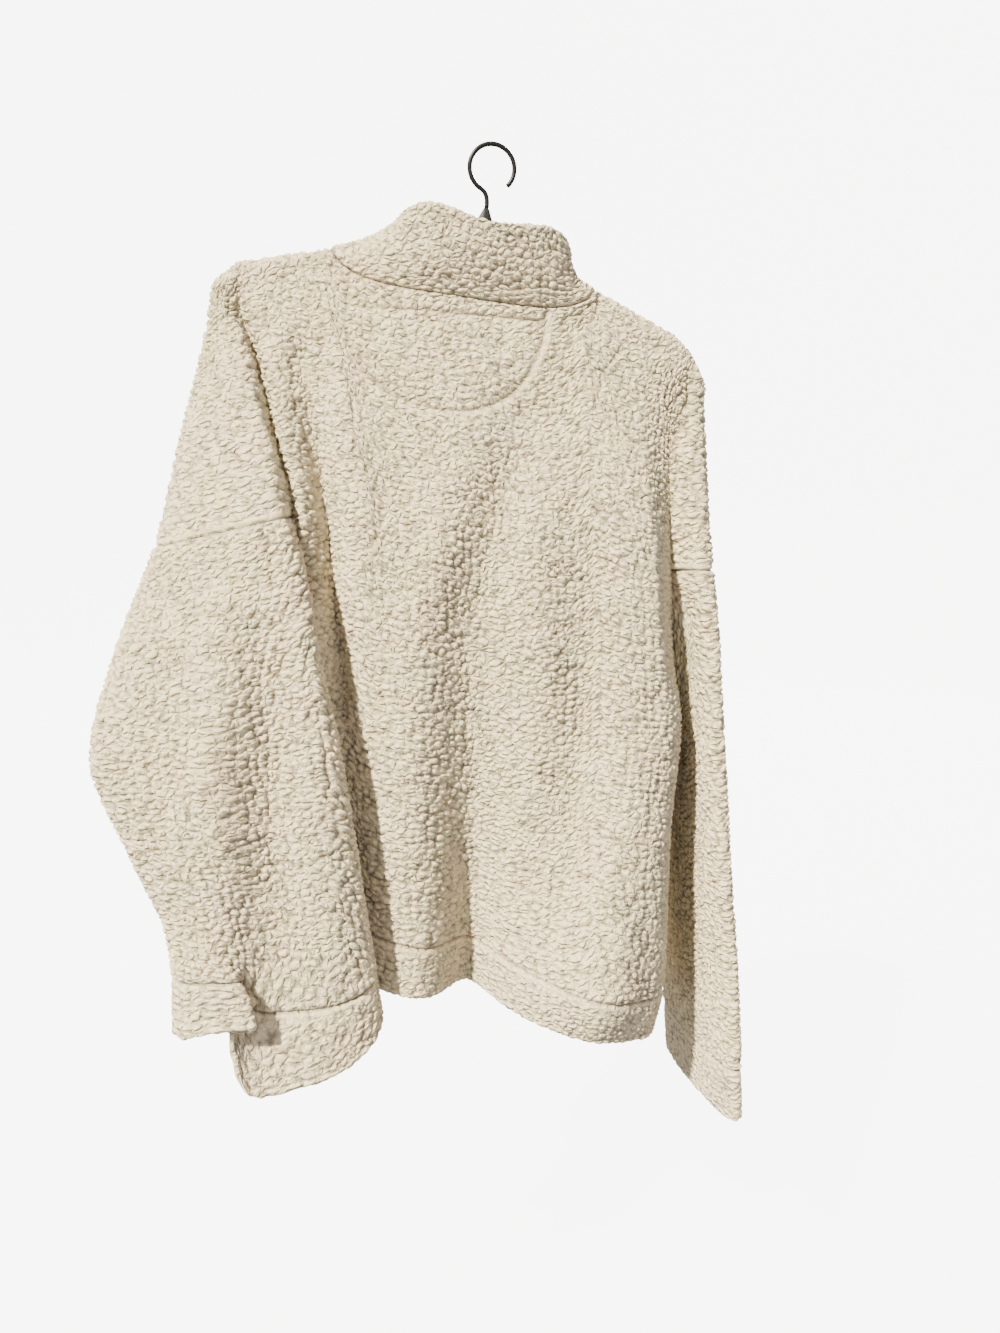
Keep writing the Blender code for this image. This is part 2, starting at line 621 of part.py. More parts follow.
def wire(path, around=10):
    """Rings of a round wire along a path in the hanger's plane."""
    along = np.gradient(path, axis=0)
    along /= np.linalg.norm(along, axis=1, keepdims=True)
    side = np.stack([along[:, 1], -along[:, 0]], axis=1)
    turn = np.linspace(0, 2 * math.pi, around + 1)[:-1]
    flat = path[:, None] + side[:, None] * np.cos(turn)[None, :, None] * WIRE / 2
    y = np.broadcast_to(np.sin(turn)[None] * WIRE / 2, flat.shape[:2])
    return tilted(flat[..., 0], y, flat[..., 1])


def closed_tube(rings):
    """Points and faces of a tube of rings with flat ends."""
    count, around = rings.shape[:2]
    i, j = np.meshgrid(np.arange(count - 1), np.arange(around), indexing="ij")
    a, b = i * around + j, i * around + (j + 1) % around
    sides = np.stack([a, b, b + around, a + around], axis=-1).reshape(-1, 4)
    faces = sides.tolist()
    faces.append(list(range(around))[::-1])
    faces.append(list(range((count - 1) * around, count * around)))
    return rings.reshape(-1, 3), faces


def moon_outline(grow):
    """The half-moon below the strip, as places along the hanger and heights."""
    turn = np.linspace(0, math.pi, 29)
    side = np.sign(np.cos(turn)) * np.abs(np.cos(turn)) ** (2 / MOON_ROUND)
    drop = np.abs(np.sin(turn)) ** (2 / MOON_ROUND)
    along = MOON_MIDDLE - (MOON_HALF + grow) * side
    top = strip_line(along) + grow
    return np.stack([along, top - (top - MOON_BOTTOM + grow) * drop], axis=1)


def strip_outline(grow):
    """The strip between the half-moon and the collar, cut straight at both ends."""
    ends = np.array([MOON_MIDDLE - MOON_HALF - grow, MOON_MIDDLE + MOON_HALF + grow])
    low = strip_line(ends) - grow
    return np.stack([[ends[0], ends[1], ends[1], ends[0]], [*low, NECK_TOP, NECK_TOP]], axis=1)


def hole_outline(grow):
    """The opening in the back panel that the half-moon and the strip fill."""
    moon = moon_outline(grow)
    top = [[moon[-1, 0], NECK_TOP], [moon[0, 0], NECK_TOP]]
    return np.concatenate([moon, top])


def strip_line(along):
    """Height of the strip's lower edge."""
    share = (along - MOON_MIDDLE) / (2 * MOON_HALF) + 0.5
    return (1 - share) * STRIP_LOW[0] + share * STRIP_LOW[1]


def prism(outline, near, far):
    """Points and faces of a cutter with its outline in the hanger's plane."""
    rings = [tilted(outline[:, 0], np.full(len(outline), y), outline[:, 1]) for y in (far, near)]
    return closed_tube(np.array(rings))


def make_object(name, points, faces, material):
    """A mesh object from points in millimetres."""
    mesh = bpy.data.meshes.new(name)
    mesh.from_pydata(((points - HOOK_TOP) * MM).tolist(), [], [list(map(int, f)) for f in faces])
    mesh.validate()
    mesh.shade_smooth()
    mesh.set_sharp_from_angle(angle=math.radians(50))
    mesh.materials.append(material)
    result = bpy.data.objects.new(name, mesh)
    bpy.context.collection.objects.link(result)
    return result


def make_cutter(name, points, faces):
    """A hidden object that only cuts."""
    result = make_object(name, points, faces, None)
    result.hide_render = True
    result.display_type = "WIRE"
    return result


def cut(target, cutter, operation):
    """Keeps or removes what the cutter covers."""
    modifier = target.modifiers.new(cutter.name, "BOOLEAN")
    modifier.operation = operation
    modifier.solver = "EXACT"
    modifier.object = cutter


def make_material(name, color, roughness, metallic=0.0):
    """A plain Principled material."""
    material = bpy.data.materials.new(name)
    material.use_nodes = True
    shader = material.node_tree.nodes["Principled BSDF"]
    shader.inputs["Base Color"].default_value = (*color, 1.0)
    shader.inputs["Roughness"].default_value = roughness
    shader.inputs["Metallic"].default_value = metallic
    return material


# Inner top of the hook as it hangs, before everything is moved to put it at the origin
HOOK_CENTRE = tilted(0.0, 0.0, WIRE / 2 - HOOK_RADIUS)
HOOK_TOP = HOOK_CENTRE + (0.0, 0.0, HOOK_RADIUS - WIRE / 2)


def main():
    """Clears the scene and builds every piece."""
    for old in list(bpy.data.objects):
        bpy.data.objects.remove(old)
    fleece = make_material("sherpa_fleece", (0.78, 0.70, 0.58), 0.95)
    black = make_material("black_plastic", (0.012, 0.012, 0.013), 0.45)
    dark_wire = make_material("black_wire", (0.02, 0.02, 0.02), 0.35, 0.6)
    walls = build_cloth().walls(CLOTH, SEAM_GAP)
    pieces = {}
    for name, (points, faces) in walls.items():
        pieces[name] = make_object(name, points, faces, fleece)
    half_gap = SEAM_GAP / 2
    outlines = {
        "back_neck_half_moon": moon_outline(-half_gap),
        "back_neck_strip": strip_outline(-half_gap),
    }
    for name, outline in outlines.items():
        pieces[name] = make_object(name, *walls["back_panel"], fleece)
        cutter = make_cutter(name + "_cutter", *prism(outline, -160.0, -3.0))
        cut(pieces[name], cutter, "INTERSECT")
    hole = make_cutter("half_moon_hole", *prism(hole_outline(half_gap), -160.0, -3.0))
    cut(pieces["back_panel"], hole, "DIFFERENCE")
    make_object("hanger", *closed_tube(hanger_body()), black)
    make_object("hanger_hook", *closed_tube(wire(hook_path())), dark_wire)


main()
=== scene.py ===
"""Dresses a cream sherpa fleece pullover that hangs from a slim black hanger.

Every cut piece is a surface worked out with numpy from the garment's sizes, on a grid fine
enough to carry the curly pile as real relief. Lengths are in millimetres from the hook and
become metres when a mesh is made. The wearer's back faces -Y, the wearer's right sleeve is at
+X and +Z is up.
"""

from __future__ import annotations

import logging
import math
from dataclasses import dataclass, field, replace
from enum import Enum, IntEnum

import bpy
import numpy as np
from bpy.types import ID, Material, Node, NodeSocket, Object
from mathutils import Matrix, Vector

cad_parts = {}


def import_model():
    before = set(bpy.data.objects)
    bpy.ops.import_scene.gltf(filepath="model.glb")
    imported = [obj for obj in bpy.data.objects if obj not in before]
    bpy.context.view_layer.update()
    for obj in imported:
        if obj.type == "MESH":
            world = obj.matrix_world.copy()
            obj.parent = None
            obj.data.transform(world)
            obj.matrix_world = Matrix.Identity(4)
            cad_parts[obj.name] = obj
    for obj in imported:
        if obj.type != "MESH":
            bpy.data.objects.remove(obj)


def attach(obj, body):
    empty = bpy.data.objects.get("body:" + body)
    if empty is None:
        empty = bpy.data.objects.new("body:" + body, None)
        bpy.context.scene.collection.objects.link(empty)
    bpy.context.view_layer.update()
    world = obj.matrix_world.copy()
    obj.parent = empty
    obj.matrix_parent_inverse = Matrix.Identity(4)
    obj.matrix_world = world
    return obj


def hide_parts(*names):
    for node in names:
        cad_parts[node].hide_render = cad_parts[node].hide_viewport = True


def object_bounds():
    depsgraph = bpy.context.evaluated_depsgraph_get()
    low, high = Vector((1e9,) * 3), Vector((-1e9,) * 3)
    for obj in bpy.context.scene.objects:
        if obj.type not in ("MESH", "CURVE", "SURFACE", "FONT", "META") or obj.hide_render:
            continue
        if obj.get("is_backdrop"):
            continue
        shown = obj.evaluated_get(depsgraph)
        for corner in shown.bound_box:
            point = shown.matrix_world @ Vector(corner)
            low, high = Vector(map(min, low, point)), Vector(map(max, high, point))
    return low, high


LOG = logging.getLogger("pullover")
Array = np.ndarray
Table = dict[str, Array]
Pair = tuple[float, float]
Triple = tuple[float, float, float]
Rgba = tuple[float, float, float, float]
MM = 0.001
XYZ = "xyz"
# The third cell number of every pattern that is laid out on flat cloth
CLOTH_LAYER = np.int64(7)


class Side(Enum):
    """The two sides of the garment, by the sign of X."""

    LEFT = -1
    RIGHT = 1


class Face(Enum):
    """The two faces of the body, by the sign of Y."""

    BACK = -1
    FRONT = 1


class Salt(IntEnum):
    """What keeps the scattered patterns apart. Stray and nub use their number and the next."""

    STRAY = 11
    CREASE = 14
    SEAM = 21
    NUB = 101
    TONE = 103


def smooth(at: Array) -> Array:
    """0 below 0, 1 above 1, with a soft step between."""
    at = np.clip(at, 0.0, 1.0)
    return at * at * (3.0 - 2.0 * at)


def quarter(at: Array) -> Array:
    """A quarter circle's rise: 0 at 0, steep at first, and 1 from 1 on."""
    return np.sqrt(1 - (1 - np.minimum(at, 1.0)) ** 2)


def curve(at: Array, knots: Array, values: Array) -> Array:
    """A smooth line through knots that never overshoots them.

    Args:
        at: Places to read.
        knots: Rising places of the values.
        values: Values at the knots.

    Returns:
        A cubic between each two knots, whose slopes are the harmonic mean of its neighbours'.
    """
    knots, values = np.asarray(knots, float), np.asarray(values, float)
    slopes = np.diff(values) / np.diff(knots)
    total = slopes[1:] + slopes[:-1]
    inner = np.where(slopes[1:] * slopes[:-1] > 0, 2 * slopes[1:] * slopes[:-1], 0.0)
    inner = inner / np.where(np.abs(total) < 1e-9, 1.0, total)
    tangents = np.concatenate([[slopes[0]], inner, [slopes[-1]]])
    at = np.clip(at, knots[0], knots[-1])
    k = np.clip(np.searchsorted(knots, at, side="right") - 1, 0, len(knots) - 2)
    wide = knots[k + 1] - knots[k]
    s = (at - knots[k]) / wide
    return (
        values[k] * (1 + 2 * s) * (1 - s) ** 2
        + tangents[k] * wide * s * (1 - s) ** 2
        + values[k + 1] * s * s * (3 - 2 * s)
        + tangents[k + 1] * wide * s * s * (s - 1)
    )


def table(names: str, *rows: tuple[float, ...]) -> Table:
    """A dict with one array for each named column."""
    return dict(zip(names.split(), np.array(rows, float).T))


def lengths(points: Array, axis: int) -> Array:
    """Mean length of each step along one axis of a grid of points."""
    steps = np.linalg.norm(np.diff(points, axis=axis), axis=-1)
    return steps.mean(axis=1 - axis)


def evened(values: Array, steps: Array, step: float) -> Array:
    """Respaces values so that each new step covers about the same length of cloth.

    Args:
        values: Rising or falling values, closely spaced.
        steps: Length of cloth between each two of them.
        step: Wanted length of a step.

    Returns:
        Values from the first to the last.
    """
    total = np.concatenate([[0.0], np.cumsum(steps)])
    count = max(int(round(total[-1] / step)), 2)
    return np.interp(np.linspace(0, total[-1], count + 1), total, values)


def reach_from(points: Array, axis: int, backwards: bool = False) -> Array:
    """Length of cloth from the first, or the last, line of a grid along one axis.

    Args:
        points: A grid of points.
        axis: The axis along which to go.
        backwards: Whether to start from the last line.

    Returns:
        A length for each point.
    """
    steps = np.linalg.norm(np.diff(points, axis=axis), axis=-1)
    pad = [(0, 0), (0, 0)]
    pad[axis] = (1, 0)
    total = np.cumsum(np.pad(steps, pad), axis=axis)
    if not backwards:
        return total
    return np.take(total, [-1], axis=axis) - total


def to_edges(points: Array, axis: int) -> Array:
    """Length of cloth to the nearer of a grid's two edges along one axis."""
    return np.minimum(reach_from(points, axis), reach_from(points, axis, backwards=True))


def level_reach(points: Array, down: Array) -> Array:
    """Length of cloth along each row of a grid, less what the row's slope down the cloth takes.

    Args:
        points: A grid of points.
        down: How far down the cloth each is.

    Returns:
        A length for each point.
    """
    steps = np.linalg.norm(np.diff(points, axis=1), axis=-1)
    level = np.sqrt(np.maximum(steps**2 - np.diff(down, axis=1) ** 2, 0.0))
    return np.cumsum(np.pad(level, ((0, 0), (1, 0))), axis=1)


def stacked(upper: Array, lower: Array) -> Array:
    """Two grids as one row of points, when the first's last row goes on as the second's first."""
    tail = upper.shape[2:]
    return np.concatenate([upper.reshape(-1, *tail), lower[1:].reshape(-1, *tail)])


def closed_ring(back: Array, front: Array) -> Array:
    """Rows along the back and home along the front, without the two ends that they share."""
    return np.concatenate([back, front[:, -2:0:-1]], axis=1)


def unit(ways: Array) -> Array:
    """Directions at length one."""
    return ways / np.maximum(np.linalg.norm(ways, axis=-1, keepdims=True), 1e-9)


def facings(points: Array, quads: Array) -> Array:
    """A direction square to each face, as long as twice its area."""
    a, b, c, d = (points[quads[:, k]] for k in range(4))
    return np.cross(c - a, d - b)


@dataclass(frozen=True)
class HangerFrame:
    """The hanger's own axes, tilted down at +X, and the line of its arms."""

    tilt: float = math.radians(8.5)
    hook_radius: float = 20.0
    wire: float = 4.0
    hook_tip: float = math.radians(-38)
    neck_top: float = -52.0
    hook_to_arms: float = 92.0
    arm_half_length: float = 190.0
    arm_slope: float = 0.32
    straight_from: float = 108.0
    straight_top: float = -109.0
    peak_power: float = 1.6
    arm_height: float = 15.0
    arm_half_thick: float = 5.0
    rest_gap: float = 0.5
    cloth: float = 4.0
    left_fall: Triple = (200.0, 31.0, 3.0)
    right_fall: Triple = (182.0, 42.0, 2.2)
    fall: float = 28.0

    def tilted(self, along: Array, y: Array, up: Array) -> Array:
        """World points from places along and up the hanger and depths.

        Args:
            along: Places along the hanger.
            y: Depths.
            up: Heights up the hanger.

        Returns:
            The points.
        """
        x = along * math.cos(self.tilt) + up * math.sin(self.tilt)
        z = -along * math.sin(self.tilt) + up * math.cos(self.tilt)
        return np.stack([x, y + 0.0 * x, z], axis=-1)

    def levelled(self, points: Array) -> tuple[Array, Array]:
        """Places along and up the hanger of world points.

        Args:
            points: World points.

        Returns:
            Places along the hanger, and heights up it.
        """
        x, z = points[..., 0], points[..., 2]
        along = x * math.cos(self.tilt) - z * math.sin(self.tilt)
        return along, x * math.sin(self.tilt) + z * math.cos(self.tilt)

    def hook_top(self) -> Array:
        """The inner top of the hook, which is the part's origin."""
        centre = self.tilted(0.0, 0.0, self.wire / 2 - self.hook_radius)
        return centre + (0.0, 0.0, self.hook_radius - self.wire / 2)

    def placed(self, points: Array) -> Array:
        """Points in metres from the part's origin."""
        return (points - self.hook_top()) * MM

    def arm_top(self, along: Array) -> Array:
        """Top of the arms: straight outside, and inside a peak under the hook, by a power.

        Args:
            along: Places along the hanger.

        Returns:
            Heights up the hanger.
        """
        away = np.abs(along)
        outside = self.straight_top - self.arm_slope * (away - self.straight_from)
        share = (away / self.straight_from) ** self.peak_power
        rise = (self.straight_top + self.hook_to_arms) * share
        return np.where(away > self.straight_from, outside, rise - self.hook_to_arms)

    def shoulder_line(self, along: Array) -> Array:
        """The cloth's middle on the arms, which falls off as a power beyond their ends.

        Args:
            along: Places along the hanger.

        Returns:
            Heights up the hanger.
        """
        drop = 0.0
        for sign, (start, scale, power) in ((-1, self.left_fall), (1, self.right_fall)):
            drop = drop + (np.maximum(sign * along - start, 0.0) / scale) ** power
        return self.arm_top(along) + self.rest_gap + self.cloth / 2 - self.fall * drop


def scattered(cells: tuple[Array, Array, Array], salt: int) -> Array:
    """Even values from 0 to 1, fixed for each whole-numbered cell and salt.

    Args:
        cells: The cells' three whole numbers.
        salt: What picks the pattern.

    Returns:
        A value for each cell, by multiplying with large primes and shifting.
    """
    mixed = cells[0] * 73856093 ^ cells[1] * 19349663 ^ cells[2] * 83492791 ^ salt * 40503
    mixed = (mixed ^ (mixed >> 13)) * 1274126177 & 0x7FFFFFFF
    mixed = (mixed ^ (mixed >> 15)) * 668265263 & 0x7FFFFFFF
    return (mixed ^ (mixed >> 14)) / 2147483647.0


def drift(points: Array, size: float, salt: int) -> Array:
    """Soft noise from -1 to 1: scattered corner values of a lattice, smoothly blended.

    Args:
        points: Points.
        size: Size of the lattice's cells.
        salt: What picks the pattern.

    Returns:
        A value for each point.
    """
    place = points / size
    low = np.floor(place)
    inside = smooth(place - low)
    low = low.astype(np.int64)
    total = np.zeros(points.shape[:-1])
    for corner in np.ndindex(2, 2, 2):
        weight = np.ones_like(total)
        for axis in range(3):
            share = inside[..., axis]
            weight = weight * (share if corner[axis] else 1 - share)
        cell = tuple(low[..., axis] + corner[axis] for axis in range(3))
        total = total + weight * scattered(cell, salt)
    return 2 * total - 1


@dataclass(frozen=True)
class Pile:
    """The curly pile: irregular nubs, wider than tall, with fine creases between them."""

    wide: float = 8.6
    tall: float = 6.0
    height: float = 3.5
    stray: float = 2.6
    stray_size: float = 12.0
    margin: float = 0.08
    least: float = 0.1
    dome: float = 0.8
    dome_fall: float = 0.7
    uneven: float = 0.2
    crease: float = 0.48
    crease_size: float = 8.0
    crease_cut: float = 0.72
    crease_mean: float = 0.78
    crease_change: float = 0.5
    crease_least: float = 0.3

    def cells(self, cloth: Array, around: int) -> tuple[Array, Array, Array]:
        """Nubs around scattered middles on the flat cloth.

        Args:
            cloth: Places on the cloth, across and down, in nubs.
            around: Nubs around a tube, or 0 on a panel.

        Returns:
            How far each place is from a crease, as the difference of the distances to the two
            nearest middles; the nearest distance; and an even value for each nub.
        """
        low = np.floor(cloth).astype(np.int64)
        first = np.full(cloth.shape[:-1], np.inf)
        second, tone = first.copy(), np.zeros_like(first)
        for step in np.ndindex(3, 3):
            cell = [low[..., axis] + step[axis] - 1 for axis in range(2)]
            named = (cell[0] % around if around else cell[0], cell[1], CLOTH_LAYER)
            away = np.zeros_like(first)
            for axis in range(2):
                middle = self.margin + (1 - 2 * self.margin) * scattered(named, Salt.NUB + axis)
                away = away + (cloth[..., axis] - (cell[axis] + middle)) ** 2
            away = np.sqrt(away)
            tone = np.where(away < first, scattered(named, Salt.TONE), tone)
            second = np.minimum(second, np.maximum(first, away))
            first = np.minimum(first, away)
        return second - first, first, tone

    def nubs(self, points: Array, cloth: Array, around: int) -> Array:
        """Height of the pile from 0 to 1: strayed uneven domes less the creases between them.

        Args:
            points: World points, for the strays.
            cloth: Places on the cloth, across and down, in millimetres.
            around: Nubs around a tube, or 0 on a panel.

        Returns:
            One height for each point.
        """
        stray = [drift(points, self.stray_size, Salt.STRAY + axis) for axis in range(2)]
        place = (cloth + self.stray * np.stack(stray, axis=-1)) / (self.wide, self.tall)
        edge, middle, tone = self.cells(place, around)
        change = self.crease_change * drift(points, self.crease_size, Salt.CREASE)
        deep = np.clip(self.crease_mean + change, self.crease_least, 1)
        crease = self.crease_cut * deep * (1 - smooth(edge / self.crease))
        dome = self.least + self.dome * np.clip(1 - self.dome_fall * middle**2, 0, 1)
        return np.clip(dome + self.uneven * (tone - 0.5) - crease, 0, 1)


@dataclass
class Surface:
    """Points of a piece's middle surface with what its relief needs, and its faces."""

    points: Array
    quads: Array
    seam: Array
    cloth: Array
    around: int = 0
    girth: float = 0.0
    normals: Array = field(default_factory=lambda: np.zeros((0, 3)))
    calm: Array = field(default_factory=lambda: np.zeros(0))

    def find_normals(self, outward: Array) -> None:
        """Unit normals as the mean of the faces around each point, turned to point outward.

        Args:
            outward: A direction, for the whole piece or for each point.
        """
        across = facings(self.points, self.quads)
        corners, count = self.quads.reshape(-1), len(self.points)
        sums = [np.bincount(corners, np.repeat(across[:, axis], 4), count) for axis in range(3)]
        self.normals = unit(np.stack(sums, axis=1))
        if (self.normals * outward).sum() < 0:
            self.normals = -self.normals
            self.quads = self.quads[:, ::-1]


def grid_quads(ids: Array, around: bool = False) -> Array:
    """Faces of a grid of point numbers, closed from its last column to its first with around.

    Args:
        ids: Numbers of the grid's points.
        around: Whether it is closed.

    Returns:
        Four point numbers a face.
    """
    if around:
        ids = np.concatenate([ids, ids[:, :1]], axis=1)
    corners = [ids[:-1, :-1], ids[1:, :-1], ids[1:, 1:], ids[:-1, 1:]]
    return np.stack(corners, axis=-1).reshape(-1, 4)


def put(name: str, data: ID) -> Object:
    """A new object with some data, linked to the scene.

    Args:
        name: Its name.
        data: Its mesh, light or camera.

    Returns:
        The object.
    """
    result = bpy.data.objects.new(name, data)
    bpy.context.scene.collection.objects.link(result)
    return result


def make_object(name: str, points: Array, faces: list[list[int]], material: Material) -> Object:
    """A smooth mesh object at the origin.

    Args:
        name: The object's name.
        points: Points in metres.
        faces: Faces as rows of point numbers.
        material: Its finish.

    Returns:
        The object, linked to the scene.
    """
    mesh = bpy.data.meshes.new(name)
    mesh.from_pydata(points.tolist(), [], faces)
    mesh.shade_smooth()
    mesh.materials.append(material)
    return put(name, mesh)


def stand_for(target: Object, node: str) -> None:
    """Lets an object ride on the one body in place of a solid, and reports it.

    Args:
        target: The object.
        node: The solid's node.
    """
    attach(target, "root")
    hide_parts(node)
    LOG.info("%s: %d faces", node, len(target.data.polygons))


def keep_value(target: Object, name: str, values: Array) -> None:
    """Stores one value a point on a mesh, for its material."""
    layer = target.data.attributes.new(name, "FLOAT", "POINT")
    layer.data.foreach_set("value", values.astype(np.float32))


def keep_place(target: Object, name: str, cloth: Array, quads: Array, around: float) -> None:
    """Stores where each corner of each face is on the flat cloth, for the material.

    Args:
        target: The object.
        name: The attribute.
        cloth: A place for each point, across and down, in nubs.
        quads: Faces.
        around: Nubs around a tube, by which a face over its closing line is unrolled, or 0.
    """
    corners = np.zeros((*quads.shape, 3))
    corners[..., :2] = cloth[quads]
    if around:
        last = corners[..., 0].max(axis=1, keepdims=True)
        corners[..., 0] += around * (corners[..., 0] < last - around / 2)
    layer = target.data.attributes.new(name, "FLOAT_VECTOR", "CORNER")
    layer.data.foreach_set("vector", corners.astype(np.float32).reshape(-1))


class Graph:
    """A new material's nodes, added and joined by short calls."""

    def __init__(self, name: str) -> None:
        """Starts a material that has only its Principled shader.

        Args:
            name: The material's name.
        """
        self.material = bpy.data.materials.new(name)
        self.material.use_nodes = True
        self.tree = self.material.node_tree
        self.shader = self.tree.nodes["Principled BSDF"]

    def fill(self, node: Node, inputs: dict[str | int, object]) -> None:
        """Gives each input of a node its value, or joins another node's socket to it.

        Args:
            node: The node.
            inputs: A value or a socket for each input's name.
        """
        for name, value in inputs.items():
            if isinstance(value, NodeSocket):
                self.tree.links.new(value, node.inputs[name])
            else:
                node.inputs[name].default_value = value

    def add(
        self, kind: str, output: str, inputs: dict[str | int, object] | None = None, **settings: str
    ) -> NodeSocket:
        """Adds a node.

        Args:
            kind: Its type, after the word ShaderNode.
            output: The output that is used.
            inputs: What its inputs get.
            **settings: Its own settings, made before its inputs are filled.

        Returns:
            The output's socket.
        """
        node = self.tree.nodes.new("ShaderNode" + kind)
        for name, value in settings.items():
            setattr(node, name, value)
        self.fill(node, inputs or {})
        return node.outputs[output]

    def noise(
        self, output: str, place: NodeSocket, scale: float, detail: float, **more: float
    ) -> NodeSocket:
        """Noise at some places, whose further inputs are named by more."""
        inputs = {"Vector": place, "Scale": scale, "Detail": detail, **more}
        return self.add("TexNoise", output, inputs)

    def math(self, operation: str, *values: float | NodeSocket) -> NodeSocket:
        """A sum, product or the like of values and sockets."""
        return self.add("Math", "Value", dict(enumerate(values)), operation=operation)

    def bump(self, strength: float, distance: float, height: NodeSocket) -> NodeSocket:
        """A normal that follows a height."""
        inputs = {"Strength": strength, "Distance": distance, "Height": height}
        return self.add("Bump", "Normal", inputs)


FOLD = "top_x top_z mid_x mid_z low_x low_z top_wide low_wide top_rise mid_rise low_rise"


@dataclass(frozen=True)
class Folds:
    """Folds of one face of the body, each a soft wave across a line through three stations."""

    rows: Table
    fade_in: float = 70.0
    fade_out: float = 115.0

    def height(self, x: Array, z: Array) -> Array:
        """Sum of the waves: rise times a bell across, faded at both ends of each fold.

        Args:
            x: Places across.
            z: Heights.

        Returns:
            How far the folds stand out there.
        """
        total = np.zeros(np.broadcast(x, z).shape)
        for i in range(len(self.rows["top_x"])):
            f = {name: column[i] for name, column in self.rows.items()}
            stations = np.array([f["low_z"], f["mid_z"], f["top_z"]])
            centre = curve(z, stations, [f["low_x"], f["mid_x"], f["top_x"]])
            wide = curve(z, stations[[0, 2]], [f["low_wide"], f["top_wide"]])
            rise = curve(z, stations, [f["low_rise"], f["mid_rise"], f["top_rise"]])
            rise = rise * smooth(1.0 - (z - f["top_z"]) / self.fade_in)
            rise = rise * smooth(1.0 + (z - f["low_z"]) / self.fade_out)
            total = total + rise * np.exp(-(((x - centre) / wide) ** 2))
        return total


@dataclass(frozen=True)
class Pleat:
    """The pleat in the left cuff, in shares of the ring's back half."""

    at: float = 0.44
    half: float = 0.055
    lap: float = 23.0
    deep: float = 3.0
    drop: float = 62.0
    lift: float = 12.0
    start: float = 0.72
    tuck: Pair = (0.3, 1.2)
    crowd: tuple[float, ...] = (-2.4, -1.6, -1, -0.5, 0, 0.5, 1, 1.6, 2.4)
    step_half: float = 1.9
    step_fade: Pair = (2.0, 5.0)
    step_haste: float = 2.2
    drop_power: float = 1.25
    lift_wide: float = 4.0

    def folded(self, points: Array, share: Array, grown: Array) -> Array:
        """Laps the ring's back half over itself and lets the inner part hang lower.

        Args:
            points: The ring's points, which are changed.
            share: Their places on the ring's back half.
            grown: How far the pleat has grown, from 0 to 1.

        Returns:
            The points.
        """
        x = (share - self.at) / self.half
        points[..., 0] -= self.lap * x * np.exp((1 - x**2) / 2) * grown
        step = np.sin(np.clip(x / self.step_half, -1, 1) * math.pi / 2)
        start, wide = self.step_fade
        step = step * (1 - smooth((np.abs(x) - start) / wide)) * smooth(grown * self.step_haste)
        points[..., 1] += self.deep * step
        start, end = self.tuck
        inside = smooth((x - start) / (end - start))
        left = np.clip((1 - share) / (1 - self.at), 0, 1)
        drop = self.drop * inside * left**self.drop_power
        lift = self.lift * (1 - inside) * smooth(1 - np.abs(x + 1) / self.lift_wide)
        points[..., 2] += (lift - drop) * grown
        return points


RING = "out_x out_y out_z in_x in_y in_z near far lean"


